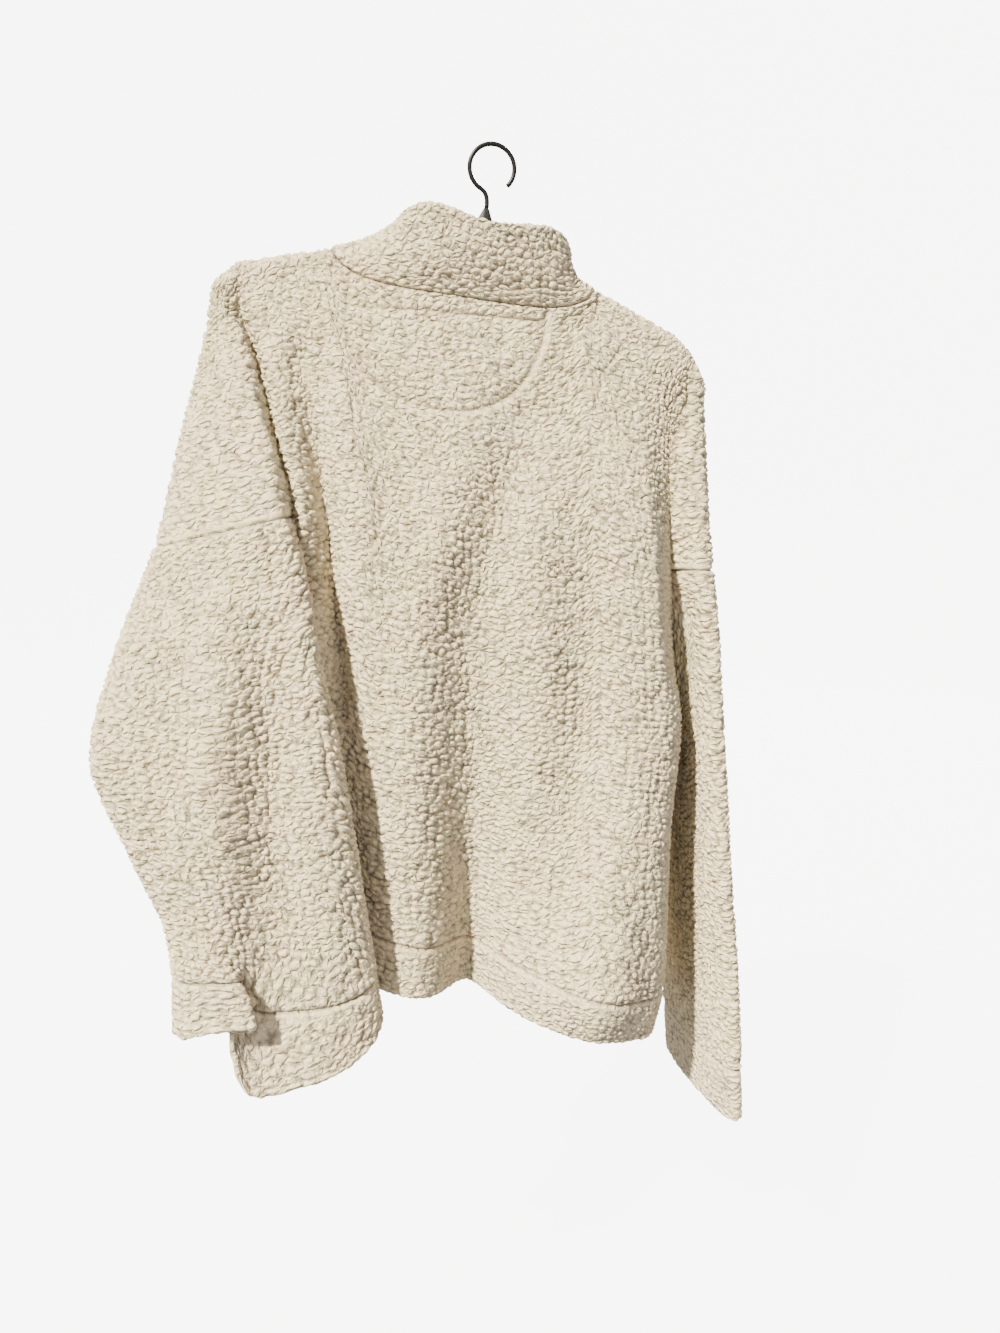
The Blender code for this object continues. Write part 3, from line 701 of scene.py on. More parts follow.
@dataclass(frozen=True)
class Arm:
    """One arm as rings between an outer and an inner edge, from the shoulder's end down.

    Near and far are how far a ring stands out of the line between its edges towards the back
    and towards the front, and lean is how much sideways.
    """

    side: Side
    rings: Table
    turns: Triple
    cuff_row: int
    pleated: bool
    folds: Folds
    drop_row: int = 3
    wrap: float = 9.0
    square: float = 2.4
    arm_steps: int = 13
    under_steps: int = 3
    flat_end: float = 0.3
    open_end: float = 1.2
    reach_end: float = 1.5
    drawn_columns: float = 1.5

    def rows(self, end: Array, groove: Array) -> Table:
        """The rings with the shoulder's end as the first, which lies flat.

        Args:
            end: The shoulder's end.
            groove: The start of the groove beside the body.

        Returns:
            The rings, a row more than before.
        """
        start = {"near": self.wrap, "far": self.wrap, "lean": 0.0}
        start.update({"out_" + k: end[i] for i, k in enumerate(XYZ)})
        start.update({"in_" + k: groove[i] for i, k in enumerate(XYZ)})
        return {name: np.concatenate([[start[name]], self.rings[name]]) for name in self.rings}

    def ring_points(self, rows: Table, level: Array, turn: Array) -> Array:
        """Points on the arm at levels down it and turns round it.

        A ring is a squared oval: across is the cosine of the turn and out is its sine, each to
        the power 2 / square. The turn runs from the outer edge over the back to the inner edge
        at pi. Above level 1 the ring opens inwards, so that the shoulder runs into the body.

        Args:
            rows: The arm's rings.
            level: Places down the arm, one for each ring.
            turn: Angles round it.

        Returns:
            The points.
        """
        knots = np.arange(len(rows["near"]), dtype=float)
        value = {name: curve(level, knots, rows[name]) for name in rows}
        c, s = np.cos(turn), np.sin(turn)
        across = np.sign(c) * np.abs(c) ** (2 / self.square)
        out = np.abs(s) ** (2 / self.square)
        out = out + (1 - out) * (1 - smooth(level / self.open_end)) * (c < 0)
        out = out * quarter(level / self.flat_end)
        half = [(value["out_" + k] - value["in_" + k]) / 2 for k in XYZ]
        middle = [(value["out_" + k] + value["in_" + k]) / 2 for k in XYZ]
        stand = np.where(s < 0, -value["far"], value["near"]) * out
        x = middle[0] + half[0] * across + value["lean"] * stand
        y = middle[1] + half[1] * across - stand
        return np.stack([x, y, middle[2] + half[2] * across], axis=-1)

    def overhang(self, rows: Table, face: Face, level: Array, share: Array, groove: Array) -> Array:
        """The panel's part over the arm, above the drop seam.

        Args:
            rows: The arm's rings.
            face: Back or front.
            level: Places down the arm.
            share: Places from the outer edge, 0, to the groove beside the body, 1.
            groove: The groove's point at each level.

        Returns:
            A grid of points, drawn to the groove over its last columns.
        """
        level = level[:, None]
        low = smooth(level / self.reach_end)
        whole = self.turns[0] if face is Face.BACK else 2 - self.turns[2]
        reach = low * whole + (1 - low)
        sign = 1.0 if face is Face.BACK else -1.0
        share = share[None]
        points = self.ring_points(rows, level, sign * (math.pi * share * reach + 1e-9))
        last = self.ring_points(rows, level, sign * (math.pi * reach))
        drawn = smooth((share - 1) * self.arm_steps / self.drawn_columns + 1)
        return points + (groove[:, None] - last) * drawn[..., None]

    def turn_of(self, place: Array, grown: Array) -> Array:
        """Half turns round the sleeve: taken up from the armhole, then crowded at the pleat.

        Args:
            place: Places round the armhole, in steps.
            grown: How far the crowding has grown, from 0 to 1.

        Returns:
            Half turns.
        """
        half = self.arm_steps + self.under_steps
        knots = [0, self.arm_steps, half, half + self.under_steps, 2 * half]
        start = np.interp(place, knots, [0, *self.turns, 2])
        crowd = Pleat.at + Pleat.half * np.array(Pleat.crowd)
        outside = np.linspace(0, 1, 5)[:-1] * crowd[0]
        inside = np.linspace(crowd[-1], 1, half + 1 - len(outside) - len(crowd) + 1)[1:]
        crowded = np.concatenate([outside, crowd, inside, np.linspace(1, 2, half + 1)[1:]])
        crowded = np.interp(place, np.arange(2 * half + 1), crowded)
        return (1 - grown) * start + grown * crowded


LEFT_SLEEVE_FOLDS = table(
    FOLD,
    (-238, -395, -246, -530, -242, -735, 24, 30, 5, 11, 7),
    (-200, -385, -204, -530, -210, -700, 28, 34, -5, -12, -7),
    (-168, -430, -166, -560, -160, -720, 20, 22, 2, 4, 2),
)
RIGHT_SLEEVE_FOLDS = table(
    FOLD,
    (190, -430, 196, -560, 202, -700, 9, 10, 2, 4, 2),
    (206, -520, 208, -640, 214, -780, 8, 9, -2, -4, -2),
)
LEFT_ARM = Arm(
    side=Side.LEFT,
    rings=table(
        RING,
        (-250, -4, -158, -231, -9, -142, 9, 9, 0.0),
        (-260, -8, -198, -219, -24, -180, 13, 14, 0.0),
        (-274, -15, -249, -204, -45, -246, 17, 22, 0.0),
        (-298, -36, -347, -187, -68, -322, 21, 30, 0.0),
        (-317, -56, -400, -170, -82, -390, 23, 28, 0.0),
        (-332, -76, -447, -164, -90, -440, 24, 26, 0.0),
        (-346, -98, -514, -151, -98, -510, 25, 24, 0.0),
        (-316, -112, -596, -138, -102, -602, 26, 22, 0.0),
        (-290, -120, -658, -129, -105, -676, 27, 20, 0.0),
        (-286, -126, -694, -123, -106, -718, 28, 19, 0.0),
        (-287, -130, -740, -118, -106, -758, 28, 18, 0.0),
    ),
    turns=(1.0, 1.30, 1.45),
    cuff_row=9,
    pleated=True,
    square=3.2,
    folds=Folds(LEFT_SLEEVE_FOLDS, fade_in=60.0, fade_out=60.0),
)
RIGHT_ARM = Arm(
    side=Side.RIGHT,
    rings=table(
        RING,
        (194, 0, -214, 176, -5, -206, 10, 12, 0.10),
        (195, 1, -264, 172, -7, -262, 22, 26, 0.10),
        (197, 1, -322, 171, -8, -320, 31, 38, 0.10),
        (200, 1, -372, 174, -6, -372, 38, 48, 0.12),
        (202, 0, -424, 182, -4, -430, 46, 58, 0.12),
        (205, -2, -500, 187, -4, -505, 54, 66, 0.12),
        (208, -4, -580, 190, -4, -584, 62, 70, 0.13),
        (211, -6, -660, 192, -6, -662, 70, 72, 0.13),
        (215, -8, -740, 196, -8, -742, 76, 72, 0.14),
        (218, -10, -800, 199, -10, -802, 78, 70, 0.14),
        (220, -10, -848, 201, -10, -852, 80, 68, 0.14),
        (223, -10, -896, 204, -10, -904, 80, 66, 0.14),
    ),
    turns=(0.81, 1.0, 1.19),
    cuff_row=10,
    pleated=False,
    folds=Folds(RIGHT_SLEEVE_FOLDS, fade_in=60.0, fade_out=60.0),
)
COLLAR_RINGS = table(
    "height left left_up right right_up back front back_dip front_dip rise",
    (0.00, -131, -113.4, 108, -106.0, 28, 30, 26, 54, 0),
    (0.35, -102, -101, 90, -101, 35, 42, 18, 44, 2),
    (0.70, -81, -87, 81, -90, 42, 52, 8, 34, 5),
    (1.00, -72, -77, 76, -79, 46, 56, -1, 22, 8),
)


@dataclass(frozen=True)
class Collar:
    """The funnel collar as rings seen along the hanger, and its rim."""

    frame: HangerFrame = HangerFrame()
    rings: Table = field(default_factory=lambda: COLLAR_RINGS)
    left: float = -131.0
    right: float = 108.0
    depth_power: float = 0.6
    dip_from: float = 0.25

    def ring(self, height: Array, along: Array, face: Face) -> tuple[Array, Array, Array]:
        """Half a ring of the collar.

        Args:
            height: Share of the collar's height.
            along: Places along the base ring.
            face: Back or front.

        Returns:
            Place along the hanger, depth and height up the hanger. Depth is the sine of the
            place's angle to the power depth_power, and the ring dips with a soft step of it.
        """
        value = {name: curve(height, self.rings["height"], self.rings[name]) for name in self.rings}
        cosine = np.clip(2 * (along - self.left) / (self.right - self.left) - 1, -1.0, 1.0)
        sine = np.sqrt(1 - cosine**2)
        share = (1 + cosine) / 2
        place = (1 - share) * value["left"] + share * value["right"]
        depth = value["front"] if face is Face.FRONT else -value["back"]
        dip = value["front_dip"] if face is Face.FRONT else value["back_dip"]
        up = (1 - share) * value["left_up"] + share * value["right_up"]
        out = sine**self.depth_power
        dip = dip * smooth((out - self.dip_from) / (1 - self.dip_from))
        return place, depth * out, up - dip + value["rise"] * 4 * (cosine * sine) ** 2

    def place(self, angle: Array) -> Array:
        """Places along the base ring at angles from its left end, 0, to its right end, pi."""
        return self.left + (self.right - self.left) * (1 - np.cos(angle)) / 2

    def wall(self, step: float) -> Array:
        """The whole collar as rows of points from the seam to the rim, closed around.

        Args:
            step: Length of cloth between neighbouring points.

        Returns:
            A grid of points.
        """
        angle = np.linspace(0, math.pi, 241)
        heights = np.linspace(0, 1, 61)[:, None]
        rows, halves = None, []
        for face in Face:
            dense = self.frame.tilted(*self.ring(heights, self.place(angle)[None], face))
            if rows is None:
                rows = evened(heights[:, 0], lengths(dense[:, ::12], 0), step)[:, None]
            even = self.place(evened(angle, lengths(dense[::12], 1), step))
            halves.append(self.frame.tilted(*self.ring(rows, even[None], face)))
        return closed_ring(*halves)


@dataclass(frozen=True)
class NeckPanels:
    """The half-moon panel and the strip above it, seen along the hanger."""

    middle: float = -24.0
    half: float = 87.0
    bottom: float = -236.0
    roundness: float = 2.2
    strip_low: Pair = (-160.0, -144.0)
    end_height: float = 60.0
    stripe: float = 7.5

    def strip_line(self, along: Array) -> Array:
        """Height of the strip's lower edge."""
        share = (along - self.middle) / (2 * self.half) + 0.5
        return (1 - share) * self.strip_low[0] + share * self.strip_low[1]

    def moon_line(self, along: Array) -> Array:
        """Height of the half-moon's lower edge, a squared oval below the strip.

        Args:
            along: Places along the hanger.

        Returns:
            Heights up the hanger.
        """
        x = np.clip(np.abs(along - self.middle) / self.half, 0, 1)
        top = self.strip_line(along)
        return top - (top - self.bottom) * (1 - x**self.roundness) ** (1 / self.roundness)

    def lines(self) -> list[Array]:
        """The seams as rows of places: the half-moon's round edge, the strip's edge, its ends.

        Returns:
            A row of places along and up the hanger for each seam.
        """
        turn = np.cos(np.linspace(0, math.pi, 61))
        along = self.middle - self.half * np.sign(turn) * np.abs(turn) ** (2 / self.roundness)
        ends = np.array([self.middle - self.half, self.middle + self.half])
        corners = np.stack([ends, self.strip_line(ends)], axis=1)
        sides = [np.stack([corner, corner + (0.0, self.end_height)]) for corner in corners]
        return [np.stack([along, self.moon_line(along)], axis=1), corners, *sides]

    def distance(self, along: Array, up: Array, line: Array) -> Array:
        """Distance to a row of places, the least over its straight stretches.

        Args:
            along: Places along the hanger.
            up: Heights up it.
            line: The row of places.

        Returns:
            A distance for each place.
        """
        start, stretch = line[:-1], np.diff(line, axis=0)
        dx, dz = along[:, None] - start[None, :, 0], up[:, None] - start[None, :, 1]
        size = np.maximum((stretch**2).sum(axis=1), 1e-12)[None]
        share = np.clip((dx * stretch[None, :, 0] + dz * stretch[None, :, 1]) / size, 0, 1)
        gap = np.hypot(dx - share * stretch[None, :, 0], dz - share * stretch[None, :, 1])
        return gap.min(axis=1)

    def parts(self, along: Array, up: Array) -> tuple[Array, Array]:
        """Which places are on the half-moon, and which are on the strip.

        Args:
            along: Places along the hanger.
            up: Heights up it.

        Returns:
            Two answers for each place.
        """
        within = np.abs(along - self.middle) < self.half
        low = self.strip_line(along)
        return within & (up < low) & (up > self.moon_line(along)), within & (up >= low)


# The body's two side edges, from just below the shoulder line down to the hem's edge
LEFT_RAIL = table(
    "x y z",
    (-227, -6, -142),
    (-215, -16, -180),
    (-200, -30, -246),
    (-184, -40, -322),
    (-193, -14, -400),
    (-205, -3, -500),
    (-212, 0, -595),
    (-215, 0, -668),
    (-216, 0, -714),
)
RIGHT_RAIL = table(
    "x y z",
    (166, -8, -206),
    (161, -11, -262),
    (161, -12, -320),
    (163, -11, -372),
    (171, -4, -475),
    (174, -1, -525),
    (166, 0, -620),
    (162, 0, -774),
    (154, 0, -812),
)
# How far the two faces stand out between the rails, at shares of the way down
DEPTHS = table(
    "share back front",
    (0.00, 0, 0),
    (0.05, 5, 4),
    (0.14, 18, 10),
    (0.30, 42, 22),
    (0.45, 56, 34),
    (0.60, 62, 44),
    (0.80, 66, 54),
    (1.00, 74, 62),
)
BACK_FOLDS = table(
    FOLD,
    (-34, -262, -82, -450, -88, -745, 26, 30, 3, 11, 10),
    (18, -246, -29, -440, -32, -760, 30, 28, -8, -11, -50),
    (22, -330, 30, -480, 16, -640, 22, 24, 5, 8, 0),
    (108, -270, 108, -500, 78, -745, 26, 56, 5, 14, 52),
    (76, -290, 74, -440, 64, -650, 20, 20, -2, -5, -3),
    (-152, -230, -146, -390, -134, -640, 14, 18, -5, -12, -8),
    (-192, -300, -188, -400, -180, -600, 20, 22, 0, -14, -6),
)
FRONT_FOLDS = table(
    FOLD,
    (-120, -300, -116, -520, -120, -760, 24, 36, 5, 12, 24),
    (-40, -260, -30, -500, -34, -760, 22, 34, -4, -10, -22),
    (60, -300, 56, -540, 60, -770, 26, 40, 5, 12, 26),
    (120, -320, 118, -520, 124, -770, 16, 22, -3, -7, -12),
)
# Narrow folds of the back beside the left shoulder
CREASES = table(
    FOLD,
    (-196, -200, -178, -325, -166, -470, 13, 11, 5, 13, 10),
    (-172, -196, -155, -330, -145, -470, 13, 12, -9, -18, -13),
    (-140, -205, -128, -300, -122, -430, 20, 22, 1, 4, 3),
)


@dataclass(frozen=True)
class Body:
    """The body between its two side rails, with the grooves, armholes and side seams there."""

    frame: HangerFrame = HangerFrame()
    collar: Collar = Collar()
    rails: dict[Side, Table] = field(
        default_factory=lambda: {Side.LEFT: LEFT_RAIL, Side.RIGHT: RIGHT_RAIL}
    )
    shares: tuple[float, ...] = (0.0, 0.07, 0.14, 0.27, 0.40, 0.52, 0.62, 0.77, 0.925, 1.0)
    depth: Table = field(default_factory=lambda: DEPTHS)
    back_folds: Folds = Folds(BACK_FOLDS)
    front_folds: Folds = Folds(FRONT_FOLDS)
    creases: Folds = Folds(CREASES, fade_in=40.0, fade_out=60.0)
    shoulder_end: float = 224.0
    groove_start: float = 206.0
    front_groove_out: float = 10.0
    trench: Pair = (12.0, 3.0)
    trench_wide: float = 9.0
    side_wide: float = 0.085
    side_blend: float = 0.16
    wrap: float = 9.0
    wrap_neck: float = 14.0
    neck_end: float = 0.13
    lean_fade: float = 0.35
    front_in: float = 0.6
    front_start: float = 0.12
    crease_edge: float = 9.0
    trench_fade: float = 0.2
    stretch: float = 1.12
    top_crowd: float = 2.1

    @property
    def drop(self) -> float:
        """Share of the rails at which the drop seam meets them."""
        return self.shares[4]

    @property
    def underarm(self) -> float:
        """Share of the rails at the underarm."""
        return self.shares[5]

    @property
    def hem(self) -> float:
        """Share of the rails at the hem's seam."""
        return self.shares[8]

    def start(self, side: Side) -> Array:
        """Where a rail starts on the shoulder line."""
        along = side.value * self.groove_start
        return self.frame.tilted(along, 0.0, self.frame.shoulder_line(along))

    def arm_rows(self, arm: Arm) -> Table:
        """An arm's rings, started at the shoulder's end.

        Args:
            arm: The arm.

        Returns:
            Its rings.
        """
        along = arm.side.value * self.shoulder_end
        end = self.frame.tilted(along, 0.0, self.frame.shoulder_line(along))
        return arm.rows(end, self.start(arm.side))

    def on_rail(self, side: Side, share: Array) -> Array:
        """Points of a rail at shares of the way from the shoulder line to the hem's edge.

        Args:
            side: The rail's side.
            share: Shares of the way.

        Returns:
            The points.
        """
        rail, start = self.rails[side], self.start(side)
        lines = [np.concatenate([[start[i]], rail[k]]) for i, k in enumerate(XYZ)]
        return np.stack([curve(share, self.shares, line) for line in lines], axis=-1)

    def neck_edge(self, columns: Array, face: Face) -> Array:
        """Where the columns start: on the arms, and along the collar's seam between.

        Args:
            columns: Shares of the way from the left rail to the right.
            face: Back or front.

        Returns:
            A point for each column.
        """
        along = -self.groove_start + 2 * self.groove_start * columns
        inside = (along >= self.collar.left) & (along <= self.collar.right)
        _, depth, up = self.collar.ring(0.0, along, face)
        up = np.where(inside, up, self.frame.shoulder_line(along))
        return self.frame.tilted(along, np.where(inside, depth, 0.0), up)

    def face(self, face: Face, rows: Array, columns: Array) -> Array:
        """The body's middle surface on one face.

        It is ruled between the rails, drawn up to the neck's edge, bent over the hanger's arms
        with a round of radius wrap, and then stood out by its depth and its folds, which die
        out at the side seams in a round.

        Args:
            face: Back or front.
            rows: Shares of the rails, from the shoulder to the hem.
            columns: Shares of the way from the left rail to the right.

        Returns:
            A grid of points.
        """
        front = face is Face.FRONT
        top = self.neck_edge(columns, face)
        left, right = self.on_rail(Side.LEFT, rows), self.on_rail(Side.RIGHT, rows)
        c = columns[None, :, None]
        points = (1 - c) * left[:, None] + c * right[:, None]
        start = (1 - c[0]) * self.start(Side.LEFT) + c[0] * self.start(Side.RIGHT)
        keep = smooth(1 - rows / self.drop)[:, None]
        points[..., 2] += (top[None, :, 2] - start[None, :, 2]) * (1 - rows[:, None])
        points[..., 0] += (top - start)[None, :, 0] * keep
        neck = top[:, 1] - start[:, 1]
        deepest = self.collar.rings["front" if front else "back"][0] * (1 if front else -1)
        hump = np.sin(math.pi * columns) ** 2 * deepest
        down = rows[:, None]
        low = smooth(down / self.neck_end)
        lean = ((1 - low) * neck[None] + low * hump[None]) * np.exp(-down / self.lean_fade)
        inward = np.minimum(np.minimum(columns, 1 - columns) / self.side_wide, 1.0)
        blend = smooth((self.underarm - down) / self.side_blend + 0.5)
        turn = blend * inward[None] + (1 - blend) * quarter(inward)[None]
        depth = curve(rows, self.depth["share"], self.depth["front" if front else "back"])
        wrap = self.wrap * quarter((top[None, :, 2] - points[..., 2]).clip(0) / self.wrap)
        on_arms = 1 - np.minimum(np.abs(top[:, 1]) / self.wrap_neck, 1)
        wrap = wrap * (low + (1 - low) * on_arms[None])
        folds = self.front_folds if front else self.back_folds
        height = folds.height(points[..., 0], points[..., 2])
        above = smooth((self.underarm - down) / (self.underarm - self.drop))
        stand = (depth[:, None] + height) * turn + wrap * (above + (1 - above) * turn)
        base = points[..., 1]
        if front:
            base = base * (1 - self.front_in * above)
            out = self.front_groove_out * above * smooth(down / self.front_start)
            points[..., 0] -= out * (1 - columns[None]) ** 12
        else:
            stand = stand + self.creased(points, rows) * low
        points[..., 1] = base * (1 - turn) + lean + (1.0 if front else -1.0) * stand
        return points

    def creased(self, points: Array, rows: Array) -> Array:
        """How far the back's narrow creases stand out, and the trenches beside the arms fall in.

        Args:
            points: The back's points.
            rows: Their shares of the rails.

        Returns:
            A distance for each point.
        """
        away = (points[..., 0] - points[:, :1, 0], points[:, -1:, 0] - points[..., 0])
        total = self.creases.height(points[..., 0], points[..., 2])
        total = total * smooth(away[0] / self.crease_edge)
        level = smooth((self.underarm - rows[:, None]) / self.trench_fade)
        for gap, deep in zip(away, self.trench):
            total = total - deep * level * np.exp(-((gap / self.trench_wide) ** 2))
        return total

    def spread(self, face: Face, step: float) -> tuple[Array, list[Array]]:
        """Columns, and rows in four stretches, about one step of cloth apart.

        The nubs are wider than tall, so columns are further apart than a step by stretch, and
        rows are closer by it.

        Args:
            face: Back or front.
            step: Wanted length between neighbours.

        Returns:
            The columns, and the rows down to the drop seams, the underarms, the hem's seam and
            the hem's edge. Each stretch starts where the last one ends.
        """
        seams = np.array([self.collar.left, self.collar.right])
        bounds = [0.0, *((seams + self.groove_start) / (2 * self.groove_start)), 1.0]
        sample = np.array([0.1, 0.25, 0.4, 0.55, 0.7, 0.85, 1.0])
        columns = [np.zeros(1)]
        for low, high in zip(bounds[:-1], bounds[1:]):
            dense = np.linspace(low, high, 301)
            wide = lengths(self.face(face, sample, dense), 1)
            columns.append(evened(dense, wide, step * self.stretch)[1:])
        rows = []
        stops = [0.0, self.drop, self.underarm, self.hem, 1.0]
        across = np.linspace(0.02, 0.98, 15)
        for low, high in zip(stops[:-1], stops[1:]):
            power = self.top_crowd if low == 0.0 else 1.0
            dense = low + (high - low) * np.linspace(0, 1, 401) ** power
            tall = lengths(self.face(face, dense, across), 0)
            rows.append(evened(dense, tall, step / self.stretch))
        return np.concatenate(columns), rows


@dataclass(frozen=True)
class FleeceFinish:
    """Cream sherpa: matt curly yarn in warm cream, with painted shade that darkens it between the
    nubs.
    """

    tip: Triple = (0.75, 0.64, 0.42)
    # Painted shade: the colour in the crevices between the nubs, where the pile is low
    deep: Triple = (0.22, 0.175, 0.115)
    tip_from: float = 0.72
    roughness: float = 0.95
    sheen: float = 0.35
    sheen_tint: Rgba = (1.0, 0.95, 0.86, 1.0)
    patches: float = 28.0
    patch_shade: float = 0.16
    yarns: float = 520.0
    fuzz: float = 0.55
    # Painted shade: how much the fine creases between curls darken the colour
    fine_shade: float = 0.15
    relief: float = 0.0025
    wavers: float = 150.0
    waver: float = 1.15
    crease: float = 0.36

    def material(self) -> Material:
        """A Principled material with painted shade where the pile is low, and curls as bump.

        Returns:
            The material.
        """
        graph = Graph("sherpa_fleece_finish")
        place = graph.add("TexCoord", "Object")
        nap_shade = graph.add("Attribute", "Fac", attribute_name="nap_shade")
        patch = graph.noise("Color", place, self.patches, 3.0)
        yarn = graph.noise("Fac", place, self.yarns, 4.0, Roughness=0.65, Distortion=1.2)
        crease = self.creases(graph, place)
        # Painted shade: the low pile and the fine creases darken the colour, along the ramp to the
        # crevice colour
        depth = graph.math("MULTIPLY_ADD", crease, self.fine_shade, nap_shade)
        relief = graph.math("MULTIPLY_ADD", yarn, self.fuzz, crease)
        ramp = graph.add("ValToRGB", "Color", {"Fac": depth})
        ends = ((0.0, self.deep), (self.tip_from, self.tip))
        for element, (position, color) in zip(ramp.node.color_ramp.elements, ends):
            element.position = position
            element.color = (*color, 1.0)
        mixed = {"Factor": self.patch_shade, "A": ramp, "B": patch}
        look = {
            "Base Color": graph.add(
                "Mix", "Result", mixed, data_type="RGBA", blend_type="MULTIPLY"
            ),
            "Normal": graph.bump(1.0, self.relief, relief),
            "Roughness": self.roughness,
            "Specular IOR Level": 0.15,
            "Sheen Weight": self.sheen,
            "Sheen Roughness": 0.5,
            "Sheen Tint": self.sheen_tint,
        }
        graph.fill(graph.shader, look)
        return graph.material

    def creases(self, graph: Graph, place: NodeSocket) -> NodeSocket:
        """Fine creases between small curls: 0 in a crease and 1 on a curl.

        Args:
            graph: The material's nodes.
            place: Object coordinates, for the waver.

        Returns:
            The socket.
        """
        cloth = graph.add("Attribute", "Vector", attribute_name="cloth_place")
        calm = graph.add("Attribute", "Fac", attribute_name="calm")
        waver = graph.noise("Color", place, self.wavers, 2.0)
        strayed = graph.add(
            "VectorMath",
            "Vector",
            {0: waver, 1: (self.waver, self.waver, 0.0), 2: cloth},
            operation="MULTIPLY_ADD",
        )
        edge = graph.add(
            "TexVoronoi",
            "Distance",
            {"Vector": strayed, "Scale": 1.0},
            voronoi_dimensions="2D",
            feature="DISTANCE_TO_EDGE",
        )
        curl = graph.add(
            "MapRange",
            "Result",
            {"Value": edge, "From Max": self.crease},
            interpolation_type="SMOOTHSTEP",
        )
        return graph.math("MAXIMUM", curl, calm)


@dataclass(frozen=True)
class BlackFinish:
    """Black hanger parts: moulded plastic or coated wire, faintly grained."""

    name: str
    color: Triple
    roughness: float
    grain: float
    metallic: float = 0.0
    uneven: Pair = (-0.08, 0.1)

    def material(self) -> Material:
        """A Principled material with fine noise in its roughness and bump.

        Returns:
            The material.
        """
        graph = Graph(self.name)
        place = graph.add("TexCoord", "Object")
        grain = graph.noise("Fac", place, self.grain, 4.0)
        low, high = (self.roughness + change for change in self.uneven)
        rough = {"Value": grain, "To Min": low, "To Max": high}
        look = {
            "Base Color": (*self.color, 1.0),
            "Metallic": self.metallic,
            "Specular IOR Level": 0.25,
            "Roughness": graph.add("MapRange", "Result", rough),
            "Normal": graph.bump(0.15, 0.0002, grain),
        }
        graph.fill(graph.shader, look)
        return graph.material


